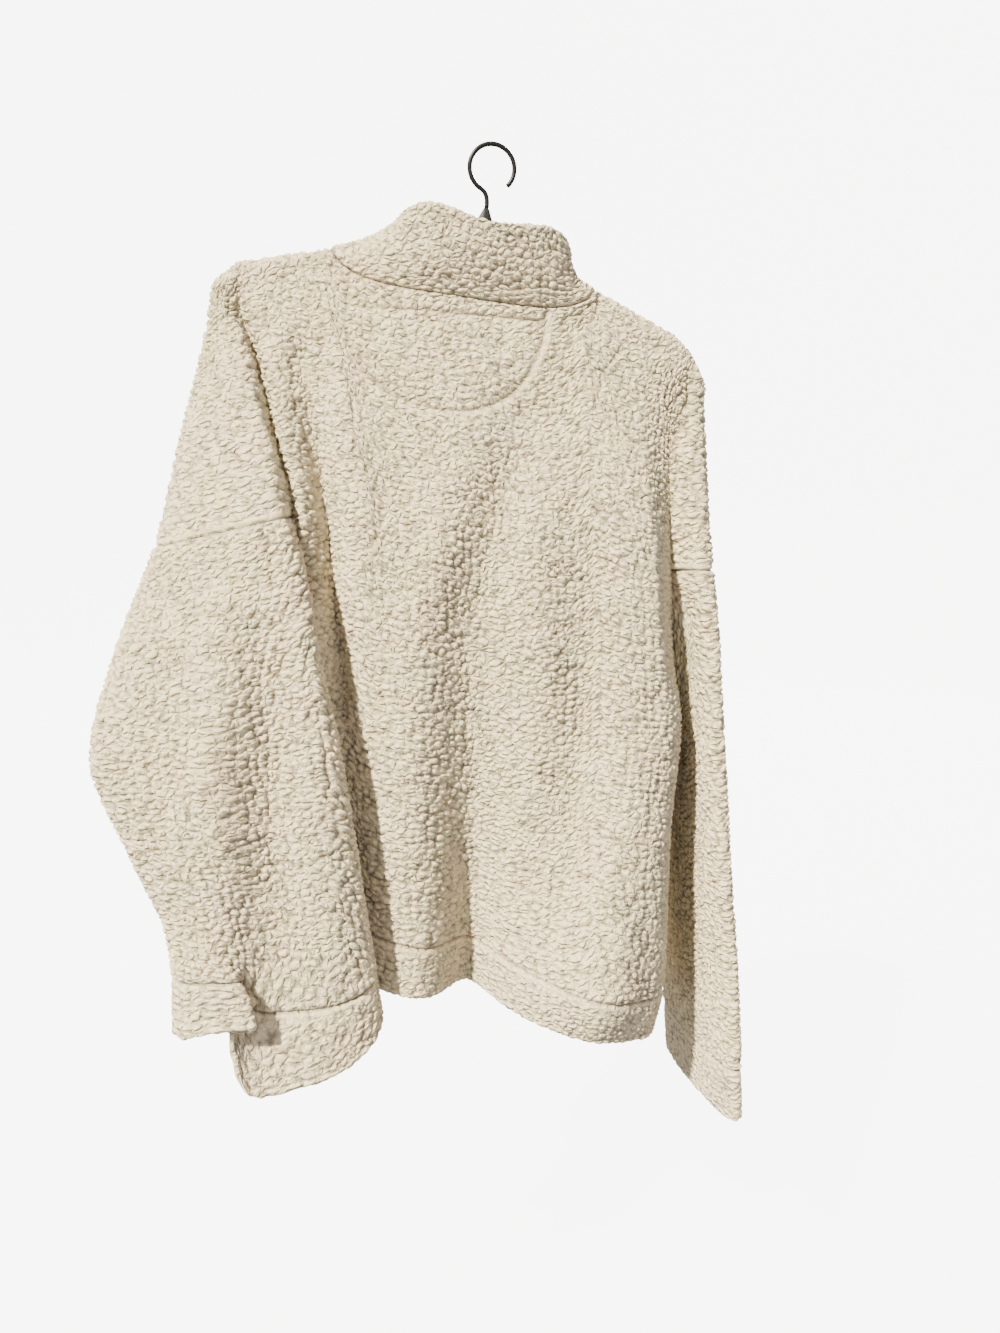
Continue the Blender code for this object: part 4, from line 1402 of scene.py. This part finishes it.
@dataclass
class Pullover:
    """The garment: its cut pieces as surfaces with pile, seams and open rims."""

    frame: HangerFrame = HangerFrame()
    body: Body = Body()
    collar: Collar = Collar()
    neck: NeckPanels = NeckPanels()
    pile: Pile = Pile()
    band_pile: Pile = Pile(wide=7.4, tall=5.6, height=2.3)
    step: float = 1.65
    back_step: float = 1.83
    front_step: float = 2.1
    own_across: float = 0.35
    own_down: float = 0.2
    seam_round: float = 3.2
    seam_stray: float = 0.35
    seam_stray_size: float = 7.0
    pile_in: float = 4.5
    seam_pile: float = 0.15
    # Painted shade: the colour darkens beside seams, and most in their grooves
    seam_shade: float = 0.85
    groove_wide: float = 2.2
    groove_shade: float = 0.3
    sunk: float = 0.25
    # Painted shade: pressed stripes take an even middle shade
    calm_shade: float = 0.66
    calm_share: float = 0.6
    calm_shown: Pair = (0.3, 0.8)
    end_calm: float = 0.4
    end_wide: float = 26.0
    end_reach: float = 1.6
    stripe_calm: float = 0.66
    stripe_edges: Pair = (2.0, 2.5)
    band_stripe: float = 6.5
    band_calm: float = 0.8
    neck_near: float = 30.0
    neck_fade: Pair = (0.55, 60.0)
    neck_seam: float = 0.75
    wall_pile: Triple = (1.0, 0.8, 0.4)
    rim_rows: int = 5
    inner_skip: int = 3
    inner_shift: float = 300.0
    opening_fade: Pair = (0.1, 0.4)

    def rise(self, seam: Array) -> Array:
        """How far the cloth's face stands off its middle: a quarter round beside each seam."""
        return self.frame.cloth / 2 * quarter(seam / self.seam_round)

    def stripe(self, gap: Array, wide: float) -> Array:
        """How pressed the pile is on a stripe of a width beside a seam, from 0 to stripe_calm."""
        first, last = self.stripe_edges
        return self.stripe_calm * smooth(gap / first) * smooth((wide - gap) / last + 0.5)

    def dressed(
        self, surface: Surface, pile: Pile, weight: Array | float = 1.0
    ) -> tuple[Array, Array]:
        """A surface's points with their pile.

        Args:
            surface: The middle surface with its normals, seam distances and calm places.
            pile: The nubs.
            weight: Share of the pile's height.

        Returns:
            The points, and the height of the nap from 0 to 1.
        """
        nubs = pile.nubs(surface.points, surface.cloth, surface.around)
        stray = drift(surface.points, self.seam_stray_size, Salt.SEAM)
        seam = surface.seam * (1 + self.seam_stray * stray)
        inside = smooth(seam / self.pile_in)
        grown = weight * (self.seam_pile + (1 - self.seam_pile) * inside) * (1 - surface.calm)
        away = self.rise(seam) + pile.height * (nubs - self.sunk) * grown
        # Painted shade: the colour follows the pile's height, darker beside seams and most in their
        # grooves, and more even on pressed stripes
        nap_shade = nubs * (self.seam_shade + (1 - self.seam_shade) * inside)
        nap_shade = nap_shade + (self.calm_shade - nap_shade) * self.calm_share * surface.calm
        groove = 1 - smooth(surface.seam / self.groove_wide)
        nap_shade = nap_shade * (1 - (1 - self.groove_shade) * groove)
        return surface.points + surface.normals * away[:, None], nap_shade

    def make(
        self, name: str, surface: Surface, points: Array, nap_shade: Array, finish: Material
    ) -> Object:
        """The finished piece, riding on the body and standing for its solid.

        Args:
            name: The piece's node.
            surface: Its middle surface, whose faces it takes.
            points: Its points with their pile.
            nap_shade: Their painted shade, which follows the pile's height.
            finish: The material.

        Returns:
            The piece.
        """
        used, numbers = np.unique(surface.quads, return_inverse=True)
        quads = numbers.reshape(-1, 4)
        points = self.frame.placed(points[used])
        result = make_object(name + "_cloth", points, quads.tolist(), finish)
        # Painted shade, which the material reads for its colour
        keep_value(result, "nap_shade", nap_shade[used])
        least, most = self.calm_shown
        calm = smooth((surface.calm[used] - least) / (self.stripe_calm - least))
        keep_value(result, "calm", most * calm)
        place = surface.cloth[used] / (self.pile.wide, self.pile.tall)
        keep_place(result, "cloth_place", place, quads, surface.girth / self.pile.wide)
        stand_for(result, name)
        return result

    def panel(self, face: Face, step: float) -> tuple[Surface, Array, Array]:
        """One face of the body with the overhangs of its drop shoulders.

        Args:
            face: Back or front.
            step: Length of cloth between neighbouring points.

        Returns:
            The surface and the places along and up the hanger of its points.
        """
        columns, stretches = self.body.spread(face, step)
        upper = stretches[0]
        lower = np.concatenate([stretches[1], stretches[2][1:]])
        middle, low = (self.body.face(face, rows, columns) for rows in (upper, lower))
        left_over = self.overhang(LEFT_ARM, face, upper, middle[:, 0], step)
        right_over = self.overhang(RIGHT_ARM, face, upper, middle[:, -1], step)
        wide = np.concatenate([left_over[:, :-1], middle, right_over[:, -2::-1]], axis=1)
        left = left_over.shape[1] - 1
        inner = slice(left, left + len(columns))
        on_arm = np.ones(wide.shape[1], bool)
        on_arm[inner] = False

        outer = [reach_from(left_over, 1)[:, :-1], reach_from(right_over, 1)[:, -2::-1]]
        seam = np.concatenate([outer[0], to_edges(middle, 1), outer[1]], axis=1)
        from_drop = reach_from(wide, 0, backwards=True)
        seam = np.where(on_arm, np.minimum(seam, from_drop), np.hypot(seam, from_drop))
        seam = np.minimum(seam, reach_from(wide, 0))
        low_seam = np.minimum(to_edges(low, 1), reach_from(low, 0, backwards=True))

        ids = np.arange(wide.shape[0] * wide.shape[1]).reshape(wide.shape[:2])
        more = ids.size + np.arange((len(lower) - 1) * len(columns)).reshape(-1, len(columns))
        low_ids = np.concatenate([ids[-1:, inner], more])
        surface = Surface(
            points=stacked(wide, low),
            quads=np.concatenate([grid_quads(ids), grid_quads(low_ids)]),
            seam=stacked(seam, low_seam),
            cloth=self.flat_places(wide, low, inner),
        )
        surface.find_normals(np.array([0.0, face.value, 0.0]))
        ends = [np.linalg.norm(surface.points - self.body.start(side), axis=1) for side in Side]
        end = smooth(self.end_reach - np.minimum(*ends) / self.end_wide)
        surface.calm = self.end_calm * end
        above = self.stripe(np.where(on_arm, from_drop, np.inf).reshape(-1), self.band_stripe)
        surface.calm[: len(above)] = np.maximum(surface.calm[: len(above)], above)
        return surface, *self.frame.levelled(surface.points)

    def flat_places(self, wide: Array, low: Array, inner: slice) -> Array:
        """Where a panel's points are on its flat cloth, on which the nubs are laid out.

        Across blends each row's own lengths with the mean of all rows, so that the nubs aren't
        sheared where the cloth is drawn to a side.

        Args:
            wide: The panel's points down to the drop seams, with the overhangs.
            low: Its points from there on.
            inner: The columns of wide that low goes on with.

        Returns:
            Millimetres across from the middle column and down from the drop seams.
        """
        down = [-reach_from(wide, 0, backwards=True), reach_from(low, 0)]
        across = [level_reach(grid, level) for grid, level in zip((wide, low), down)]
        half = low.shape[1] // 2
        for grid, column in zip(across, (inner.start + half, half)):
            grid -= grid[:, [column]]
        shared = np.concatenate([across[0][:, inner], across[1]]).mean(axis=0)
        even = across[0].mean(axis=0)
        even[: inner.start] += shared[0] - even[inner.start]
        even[inner.stop :] += shared[-1] - even[inner.stop - 1]
        even[inner] = shared
        blends = [
            self.own_across * grid + (1 - self.own_across) * mean
            for grid, mean in zip(across, (even, shared))
        ]
        return stacked(*(np.stack(pair, axis=-1) for pair in zip(blends, down)))

    def overhang(self, arm: Arm, face: Face, upper: Array, groove: Array, step: float) -> Array:
        """An overhang's points at the panel's rows, from its outer edge to the groove.

        Args:
            arm: The arm.
            face: Back or front.
            upper: The panel's rows down to the drop seam.
            groove: The groove's point at each row.
            step: Length of cloth between neighbouring points.

        Returns:
            A grid of points.
        """
        rows = self.body.arm_rows(arm)
        level = upper / self.body.drop * (arm.drop_row + 1)
        dense = np.linspace(0, 1, 201)
        grid = arm.overhang(rows, face, level, dense, groove)
        share = evened(dense, lengths(grid[len(level) // 3 :: 8], 1), step * self.body.stretch)
        return arm.overhang(rows, face, level, share, groove)

    def back(self, finish: Material) -> dict[str, Object]:
        """The back panel, the half-moon and the strip, parted from one surface.

        Args:
            finish: The material.

        Returns:
            The three pieces by their nodes.
        """
        surface, along, up = self.panel(Face.BACK, self.back_step)
        near = np.abs(along - self.neck.middle) < self.neck.half + self.neck_near
        near &= (up > self.neck.bottom - self.neck_near) & (surface.points[:, 1] < 0)
        moon, strip = self.neck.parts(along, up)
        gaps = [self.neck.distance(along[near], up[near], line) for line in self.neck.lines()]
        nearest = self.neck_seam * np.minimum.reduce(gaps)
        surface.seam[near] = np.minimum(surface.seam[near], nearest)
        least, wide = self.neck_fade
        fading = least + (1 - least) * smooth((along[near] - self.neck.middle) / wide)
        pressed = self.stripe(gaps[0], self.neck.stripe) * ~(moon | strip)[near] * fading
        surface.calm[near] = np.maximum(surface.calm[near], pressed)
        points, nap_shade = self.dressed(surface, self.pile)
        centre = surface.points[surface.quads].mean(axis=1)
        on_moon, on_strip = self.neck.parts(*self.frame.levelled(centre))
        made = {}
        for name, chosen in (
            ("back_panel", ~(on_moon | on_strip)),
            ("back_neck_half_moon", on_moon),
            ("back_neck_strip", on_strip),
        ):
            piece = replace(surface, quads=surface.quads[chosen])
            made[name] = self.make(name, piece, points, nap_shade, finish)
        return made

    def front(self, finish: Material) -> Object:
        """The front panel.

        Args:
            finish: The material.

        Returns:
            The piece.
        """
        surface, _, _ = self.panel(Face.FRONT, self.front_step)
        points, nap_shade = self.dressed(surface, self.pile)
        return self.make("front_panel", surface, points, nap_shade, finish)

    def walled(
        self, name: str, middle: Array, rim: bool, finish: Material, flat: Array | None = None
    ) -> Object:
        """A tube of cloth with both its faces, from a middle surface closed around.

        The rows run along the outer face, round the open rim as half a turn if it has one, and
        back along the inner face to the first seam.

        Args:
            name: The piece's node.
            middle: Rows of points from a seam to a seam or to the rim.
            rim: Whether the last row is an open rim.
            finish: The material.
            flat: The same tube without its pleat, on which the nubs are laid out.

        Returns:
            The piece.
        """
        count, columns = middle.shape[:2]
        along = unit(np.gradient(middle, axis=0))
        sideways = np.roll(middle, -1, axis=1) - np.roll(middle, 1, axis=1)
        normal = unit(np.cross(sideways, along))
        if (normal * (middle - middle.mean(axis=1, keepdims=True))).sum() < 0:
            normal = -normal
        turn = np.linspace(0, math.pi, self.rim_rows + 2)[1:-1] if rim else np.zeros(0)
        back = np.arange(count)[:: -self.inner_skip]
        rows = np.concatenate([np.arange(count), np.full(len(turn), count - 1), back])
        stretches = (count, len(turn), len(back))
        angle = np.concatenate([np.zeros(count), turn, np.full(len(back), math.pi)])[:, None, None]
        way = normal[rows] * np.cos(angle) + along[rows] * np.sin(angle)
        seam = reach_from(middle, 0) if rim else to_edges(middle, 0)

        pile = self.band_pile if rim else self.pile
        closed = middle if flat is None else flat
        closed = np.concatenate([closed, closed[:, :1]], axis=1)
        around = int(round(lengths(closed, 1).sum() / pile.wide))
        down = reach_from(closed[:, :-1], 0)
        down = self.own_down * down + (1 - self.own_down) * down.mean(axis=1, keepdims=True)
        inner = np.full(len(back), self.inner_shift)
        further = np.concatenate([np.zeros(count), turn * self.frame.cloth / 2, inner])
        across = reach_from(closed, 1)
        across = across[:, :-1] / across[:, -1:] * around * pile.wide
        down = down[rows] + further[:, None]
        ids = np.arange(len(rows) * columns).reshape(-1, columns)
        surface = Surface(
            points=middle[rows].reshape(-1, 3),
            quads=grid_quads(np.concatenate([ids, ids[:1]]), around=True),
            seam=seam[rows].reshape(-1),
            cloth=np.stack([across[rows], down], axis=-1).reshape(-1, 2),
            around=around,
            girth=around * pile.wide,
            normals=way.reshape(-1, 3),
        )
        surface.calm = np.zeros(len(surface.points))
        if rim and name != "collar":
            surface.calm = self.band_calm * self.stripe(surface.seam, self.band_stripe)
        weight = np.repeat(np.repeat(self.wall_pile, stretches), columns)
        points, nap_shade = self.dressed(surface, pile, weight)
        if (facings(points, surface.quads) * surface.normals[surface.quads[:, 0]]).sum() < 0:
            surface.quads = surface.quads[:, ::-1]
        return self.make(name, surface, points, nap_shade, finish)

    def sleeve_grid(self, arm: Arm) -> tuple[tuple[Array, Array], tuple[Array, Array]]:
        """A sleeve and its cuff as rows of points down the arm, closed around.

        Args:
            arm: The arm.

        Returns:
            The sleeve and then the cuff, each as pleated and as it is without its pleat.
        """
        rows = self.body.arm_rows(arm)
        first, last, seam = arm.drop_row + 1, len(rows["near"]) - 1, arm.cuff_row + 1
        dense = np.linspace(0, 2 * (arm.arm_steps + arm.under_steps), 801)
        some = np.linspace(first, last, 15)
        wide = lengths(self.sleeve_points(arm, rows, some, dense), 1)
        place = evened(dense, wide, self.step)[:-1]
        grids = []
        for low, high in ((first, seam), (seam, last)):
            fine = np.linspace(low, high, 241)
            whole = np.concatenate([[first], fine, [last]])
            tall = lengths(self.sleeve_points(arm, rows, whole, place[::9])[1:-1], 0)
            grids.append(evened(fine, tall, self.step))
        levels = np.concatenate([grids[0], grids[1][1:]])
        pleats = (True, False)
        tubes = [self.sleeve_points(arm, rows, levels, place, pleated) for pleated in pleats]
        seam = len(grids[0])
        return tuple(tube[:seam] for tube in tubes), tuple(tube[seam - 1 :] for tube in tubes)

    def sleeve_points(
        self, arm: Arm, rows: Table, levels: Array, place: Array, pleated: bool = True
    ) -> Array:
        """A tube whose first ring is the armhole and whose others follow the arm's rings.

        Args:
            arm: The arm.
            rows: Its rings.
            levels: Places down the arm, from the drop seam to the cuff's edge.
            place: Places round it, from the outer edge over the back.
            pleated: Whether to lay the pleat.

        Returns:
            A grid of points. The armhole's sideways misfit fades over a tenth of the length and
            its upward misfit over four tenths.
        """
        level = levels[:, None]
        gone = (level - levels[0]) / (levels[-1] - levels[0])
        pleat = Pleat()
        shape = 1 if arm.pleated else 0
        grown = smooth((gone - pleat.start) / (1 - pleat.start)) * shape
        turn = arm.turn_of(place[None], smooth(gone / pleat.start) * shape)
        points = arm.ring_points(rows, level, turn * math.pi)
        offset = self.opening(arm, rows, place)[None] - points[:1]
        sideways, upward = (smooth(1 - gone / fade) for fade in self.opening_fade)
        points[..., :2] += offset[..., :2] * sideways[..., None]
        points[..., 2] += offset[..., 2] * upward
        facing = np.sqrt(np.sin(np.clip(turn, 0, 1) * math.pi).clip(0))
        points[..., 1] -= arm.folds.height(points[..., 0], points[..., 2]) * facing
        if not pleated:
            return points
        # Far off keeps the front half out of the pleat
        far_off = 9.0
        return pleat.folded(points, np.where(turn > 1, far_off, turn), grown * (turn <= 1))

    def opening(self, arm: Arm, rows: Table, place: Array) -> Array:
        """The armhole's ring: overhangs' edges and the body's edges down to the underarm.

        Args:
            arm: The arm.
            rows: Its rings.
            place: Places round it, in steps.

        Returns:
            A point for each place.
        """
        steps, under = arm.arm_steps, arm.under_steps
        half = steps + under
        result = np.zeros((len(place), 3))
        column = np.array([0.0 if arm.side is Side.LEFT else 1.0])
        level = np.array([arm.drop_row + 1.0])
        span = self.body.underarm - self.body.drop
        from_back = place <= half
        mirrored = np.where(from_back, place, 2 * half - place)
        for face, chosen in ((Face.BACK, from_back), (Face.FRONT, ~from_back)):
            high, low = chosen & (mirrored <= steps), chosen & (mirrored > steps)
            groove = self.body.face(face, np.array([self.body.drop]), column)[0]
            over = arm.overhang(rows, face, level, mirrored[high] / steps, groove)
            result[high] = over[0]
            share = self.body.drop + span * (mirrored[low] - steps) / under
            result[low] = self.body.face(face, share, column)[:, 0]
        return result

    def hem_grid(self) -> Array:
        """The hem band as rows of points from its seam to its edge, closed around."""
        columns, stretches = self.body.spread(Face.BACK, self.step)
        return closed_ring(*(self.body.face(face, stretches[3], columns) for face in Face))

    def build(self) -> None:
        """Makes every cut piece."""
        finish = FleeceFinish().material()
        made = self.back(finish)
        made["front_panel"] = self.front(finish)
        made["collar"] = self.walled("collar", self.collar.wall(self.step), True, finish)
        for arm in (LEFT_ARM, RIGHT_ARM):
            side = arm.side.name.lower()
            for part, (tube, flat) in zip(("_sleeve", "_cuff"), self.sleeve_grid(arm)):
                made[side + part] = self.walled(side + part, tube, part == "_cuff", finish, flat)
        made["hem_band"] = self.walled("hem_band", self.hem_grid(), True, finish)


PLASTIC = BlackFinish("black_plastic_finish", (0.008, 0.008, 0.009), 0.45, 900.0)
WIRE = BlackFinish("black_wire_finish", (0.012, 0.012, 0.013), 0.35, 1400.0, metallic=0.5)


@dataclass(frozen=True)
class Hanger:
    """The slim hanger: round-topped arms with a raised middle, and a wire hook."""

    frame: HangerFrame = HangerFrame()
    around: int = 32
    wire_around: int = 20
    tip_length: float = 9.0
    flank_from: float = 2.5
    flank_drop: float = 3.2
    flank_power: float = 0.8
    least_half: float = 1.5
    least_round: float = 0.25
    hook_start: float = math.radians(248)
    seam_gap: float = 0.3
    pulls: Pair = (9.0, 5.0)

    def arms(self) -> Array:
        """Rings along the hanger: rounded slots whose ends shrink as a quarter circle.

        Returns:
            A ring of points at each place along the hanger.
        """
        f = self.frame
        centre = [0, 1, 2, 3, 4, 5, 6, 8, 10, 12, 14, 17, 20, 25, 30, 38, 48]
        tip = f.arm_half_length - self.tip_length * np.linspace(1, 0.08, 14) ** 2
        along = np.concatenate([centre, np.linspace(55, 178, 42), tip])
        along = np.concatenate([-along[:0:-1], along])
        away = np.abs(along)
        end = (away - f.arm_half_length) / self.tip_length + 1
        shrink = np.sqrt(1 - np.clip(end, 0, 1) ** 2)
        flank = self.flank_drop * np.maximum(away - self.flank_from, 0) ** self.flank_power
        top = np.maximum(f.arm_top(along), f.neck_top - flank)
        low = f.arm_top(along) - f.arm_height
        middle, tall = (top + low) / 2, np.maximum((top - low) / 2 * shrink, self.least_half)
        turn = np.linspace(0, 2 * math.pi, self.around + 1)[:-1]
        radius = np.minimum(f.arm_half_thick, tall) * np.maximum(shrink, self.least_round)
        y = radius[:, None] * np.cos(turn)[None]
        up = (tall - radius)[:, None] * np.sign(np.round(np.sin(turn), 6))[None]
        up = middle[:, None] + up + radius[:, None] * np.sin(turn)[None]
        return f.tilted(np.broadcast_to(along[:, None], y.shape), y, up)

    def hook(self) -> Array:
        """Rings of the wire: a cubic bend out of the hanger's middle, then an arc.

        Returns:
            A ring of points at each place along the wire.
        """
        f = self.frame
        turn = np.linspace(self.hook_start, f.hook_tip, 73)
        circle = np.stack([np.cos(turn), np.sin(turn)], axis=1)
        arc = f.hook_radius * circle + (0.0, f.wire / 2 - f.hook_radius)
        low = np.array([0.0, f.neck_top + self.seam_gap])
        ease = np.linspace(0, 1, 20)[:-1, None]
        heading = -np.array([math.sin(turn[0]), -math.cos(turn[0])])
        pulls = [low, low + (0, self.pulls[0]), arc[0] + heading * self.pulls[1], arc[0]]
        weights = [(1 - ease) ** 3, 3 * ease * (1 - ease) ** 2, 3 * ease**2 * (1 - ease), ease**3]
        path = np.concatenate([sum(w * p for w, p in zip(weights, pulls)), arc])
        along = unit(np.gradient(path, axis=0))
        side = np.stack([along[:, 1], -along[:, 0]], axis=1)
        turn = np.linspace(0, 2 * math.pi, self.wire_around + 1)[:-1]
        flat = path[:, None] + side[:, None] * np.cos(turn)[None, :, None] * f.wire / 2
        y = np.broadcast_to(np.sin(turn)[None] * f.wire / 2, flat.shape[:2])
        return f.tilted(flat[..., 0], y, flat[..., 1])

    def tube(self, name: str, rings: Array, finish: BlackFinish) -> None:
        """A closed tube of rings that stands for its solid, with a point in each end.

        Args:
            name: The solid's node.
            rings: The rings' points.
            finish: The finish.
        """
        count, around = rings.shape[:2]
        ids = np.arange(count * around).reshape(count, around)
        points = np.concatenate([rings.reshape(-1, 3), rings[[0, -1]].mean(axis=1)])
        quads = grid_quads(ids, around=True).tolist()
        for row, tip, way in ((0, len(points) - 2, 1), (count - 1, len(points) - 1, -1)):
            fan = np.stack([ids[row], np.roll(ids[row], -1), np.full(around, tip)], axis=1)
            quads += fan[:, ::way].tolist()
        a, b, c = (rings[1, 0], rings[0, 0], rings[0, 1])
        outward = np.dot(np.cross(b - a, c - b), rings[0, 0] - rings[0].mean(axis=0))
        quads = [face[::-1] for face in quads] if outward < 0 else quads
        points = self.frame.placed(points)
        result = make_object(name + "_body", points, quads, finish.material())
        stand_for(result, name)

    def build(self) -> None:
        """Makes the arms and the hook."""
        self.tube("hanger", self.arms(), PLASTIC)
        self.tube("hanger_hook", self.hook(), WIRE)


@dataclass(frozen=True)
class Sun:
    """A far light that shines from an azimuth and a height, in degrees."""

    name: str
    azimuth: float
    height: float
    soft: float
    power: float
    color: Triple

    def add(self) -> None:
        """Puts the light in the scene."""
        data = bpy.data.lights.new(self.name, "SUN")
        data.energy, data.angle, data.color = self.power, math.radians(self.soft), self.color
        light = put(self.name, data)
        light.rotation_euler = (math.radians(90 - self.height), 0, math.radians(self.azimuth))


@dataclass(frozen=True)
class Studio:
    """The camera at the photograph's place, soft lights and a pale floor."""

    eye: Triple = (-124.5, -936.4, -306.8)
    azimuth: float = -8.0
    pitch: float = 9.5
    lens: float = 27.0
    sensor: float = 36.0
    clip: Pair = (0.02, 60.0)
    suns: tuple[Sun, ...] = (
        Sun("key", -43, 43, 2.5, 19.2, (1.0, 0.93, 0.72)),
        Sun("front", 155, 32, 12.0, 11.0, (1.0, 0.95, 0.86)),
    )
    sky: Rgba = (1.0, 0.95, 0.92, 1.0)
    floor_z: float = -1250.0
    floor_color: Rgba = (0.12, 0.12, 0.12, 1.0)
    floor_glow: float = 7.0
    cove: float = 5.0
    wall: float = 3.0

    def camera(self) -> None:
        """Looks from behind the wearer, a little from the left and down."""
        data = bpy.data.cameras.new("camera")
        data.lens = self.lens
        data.sensor_width = self.sensor
        data.clip_start, data.clip_end = self.clip
        camera = put("camera", data)
        camera.location = [v * MM for v in self.eye]
        camera.rotation_euler = (math.radians(90 - self.pitch), 0, math.radians(self.azimuth))
        bpy.context.scene.camera = camera

    def floor(self) -> None:
        """A pale round floor whose rim curves up into a wall: a profile turned about the middle."""
        bend = np.linspace(0, math.pi / 2, 13)
        out = np.concatenate([[0.5], self.cove - 1 + np.sin(bend), [self.cove]])
        up = np.concatenate([[0.0], 1 - np.cos(bend), [self.cove + self.wall]])
        up = up + self.floor_z * MM
        turn = np.linspace(0, 2 * math.pi, 97)[:-1]
        x, y = out[:, None] * np.cos(turn), out[:, None] * np.sin(turn)
        points = np.stack(np.broadcast_arrays(x, y, up[:, None]), axis=-1)
        ids = np.arange(points.size // 3).reshape(points.shape[:2])
        faces = [ids[0, ::-1].tolist(), *grid_quads(ids, around=True)[:, ::-1].tolist()]
        pale = Graph("pale_floor")
        look = {
            "Base Color": self.floor_color,
            "Roughness": 0.9,
            "Emission Color": (1.0, 1.0, 1.0, 1.0),
            "Emission Strength": self.floor_glow,
        }
        pale.fill(pale.shader, look)
        floor = make_object("floor", points.reshape(-1, 3), faces, pale.material)
        floor.visible_diffuse = False
        floor.visible_glossy = False
        floor.visible_shadow = False
        floor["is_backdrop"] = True

    def build(self) -> None:
        """Camera, lights, floor and a pale sky."""
        self.camera()
        for sun in self.suns:
            sun.add()
        self.floor()
        world = bpy.data.worlds.new("pale")
        world.use_nodes = True
        background = world.node_tree.nodes["Background"]
        background.inputs["Color"].default_value = self.sky
        background.inputs["Strength"].default_value = 1.0
        bpy.context.scene.world = world


def main() -> None:
    """Loads the frame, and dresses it."""
    logging.basicConfig(level=logging.INFO, format="%(message)s")
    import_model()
    solid_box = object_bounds()
    Studio().build()
    Hanger().build()
    Pullover().build()
    boxes = {"cad": solid_box, "visual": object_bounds()}
    boxes = {name: [[float(v) for v in corner] for corner in box] for name, box in boxes.items()}


if __name__ == "__main__":
    main()
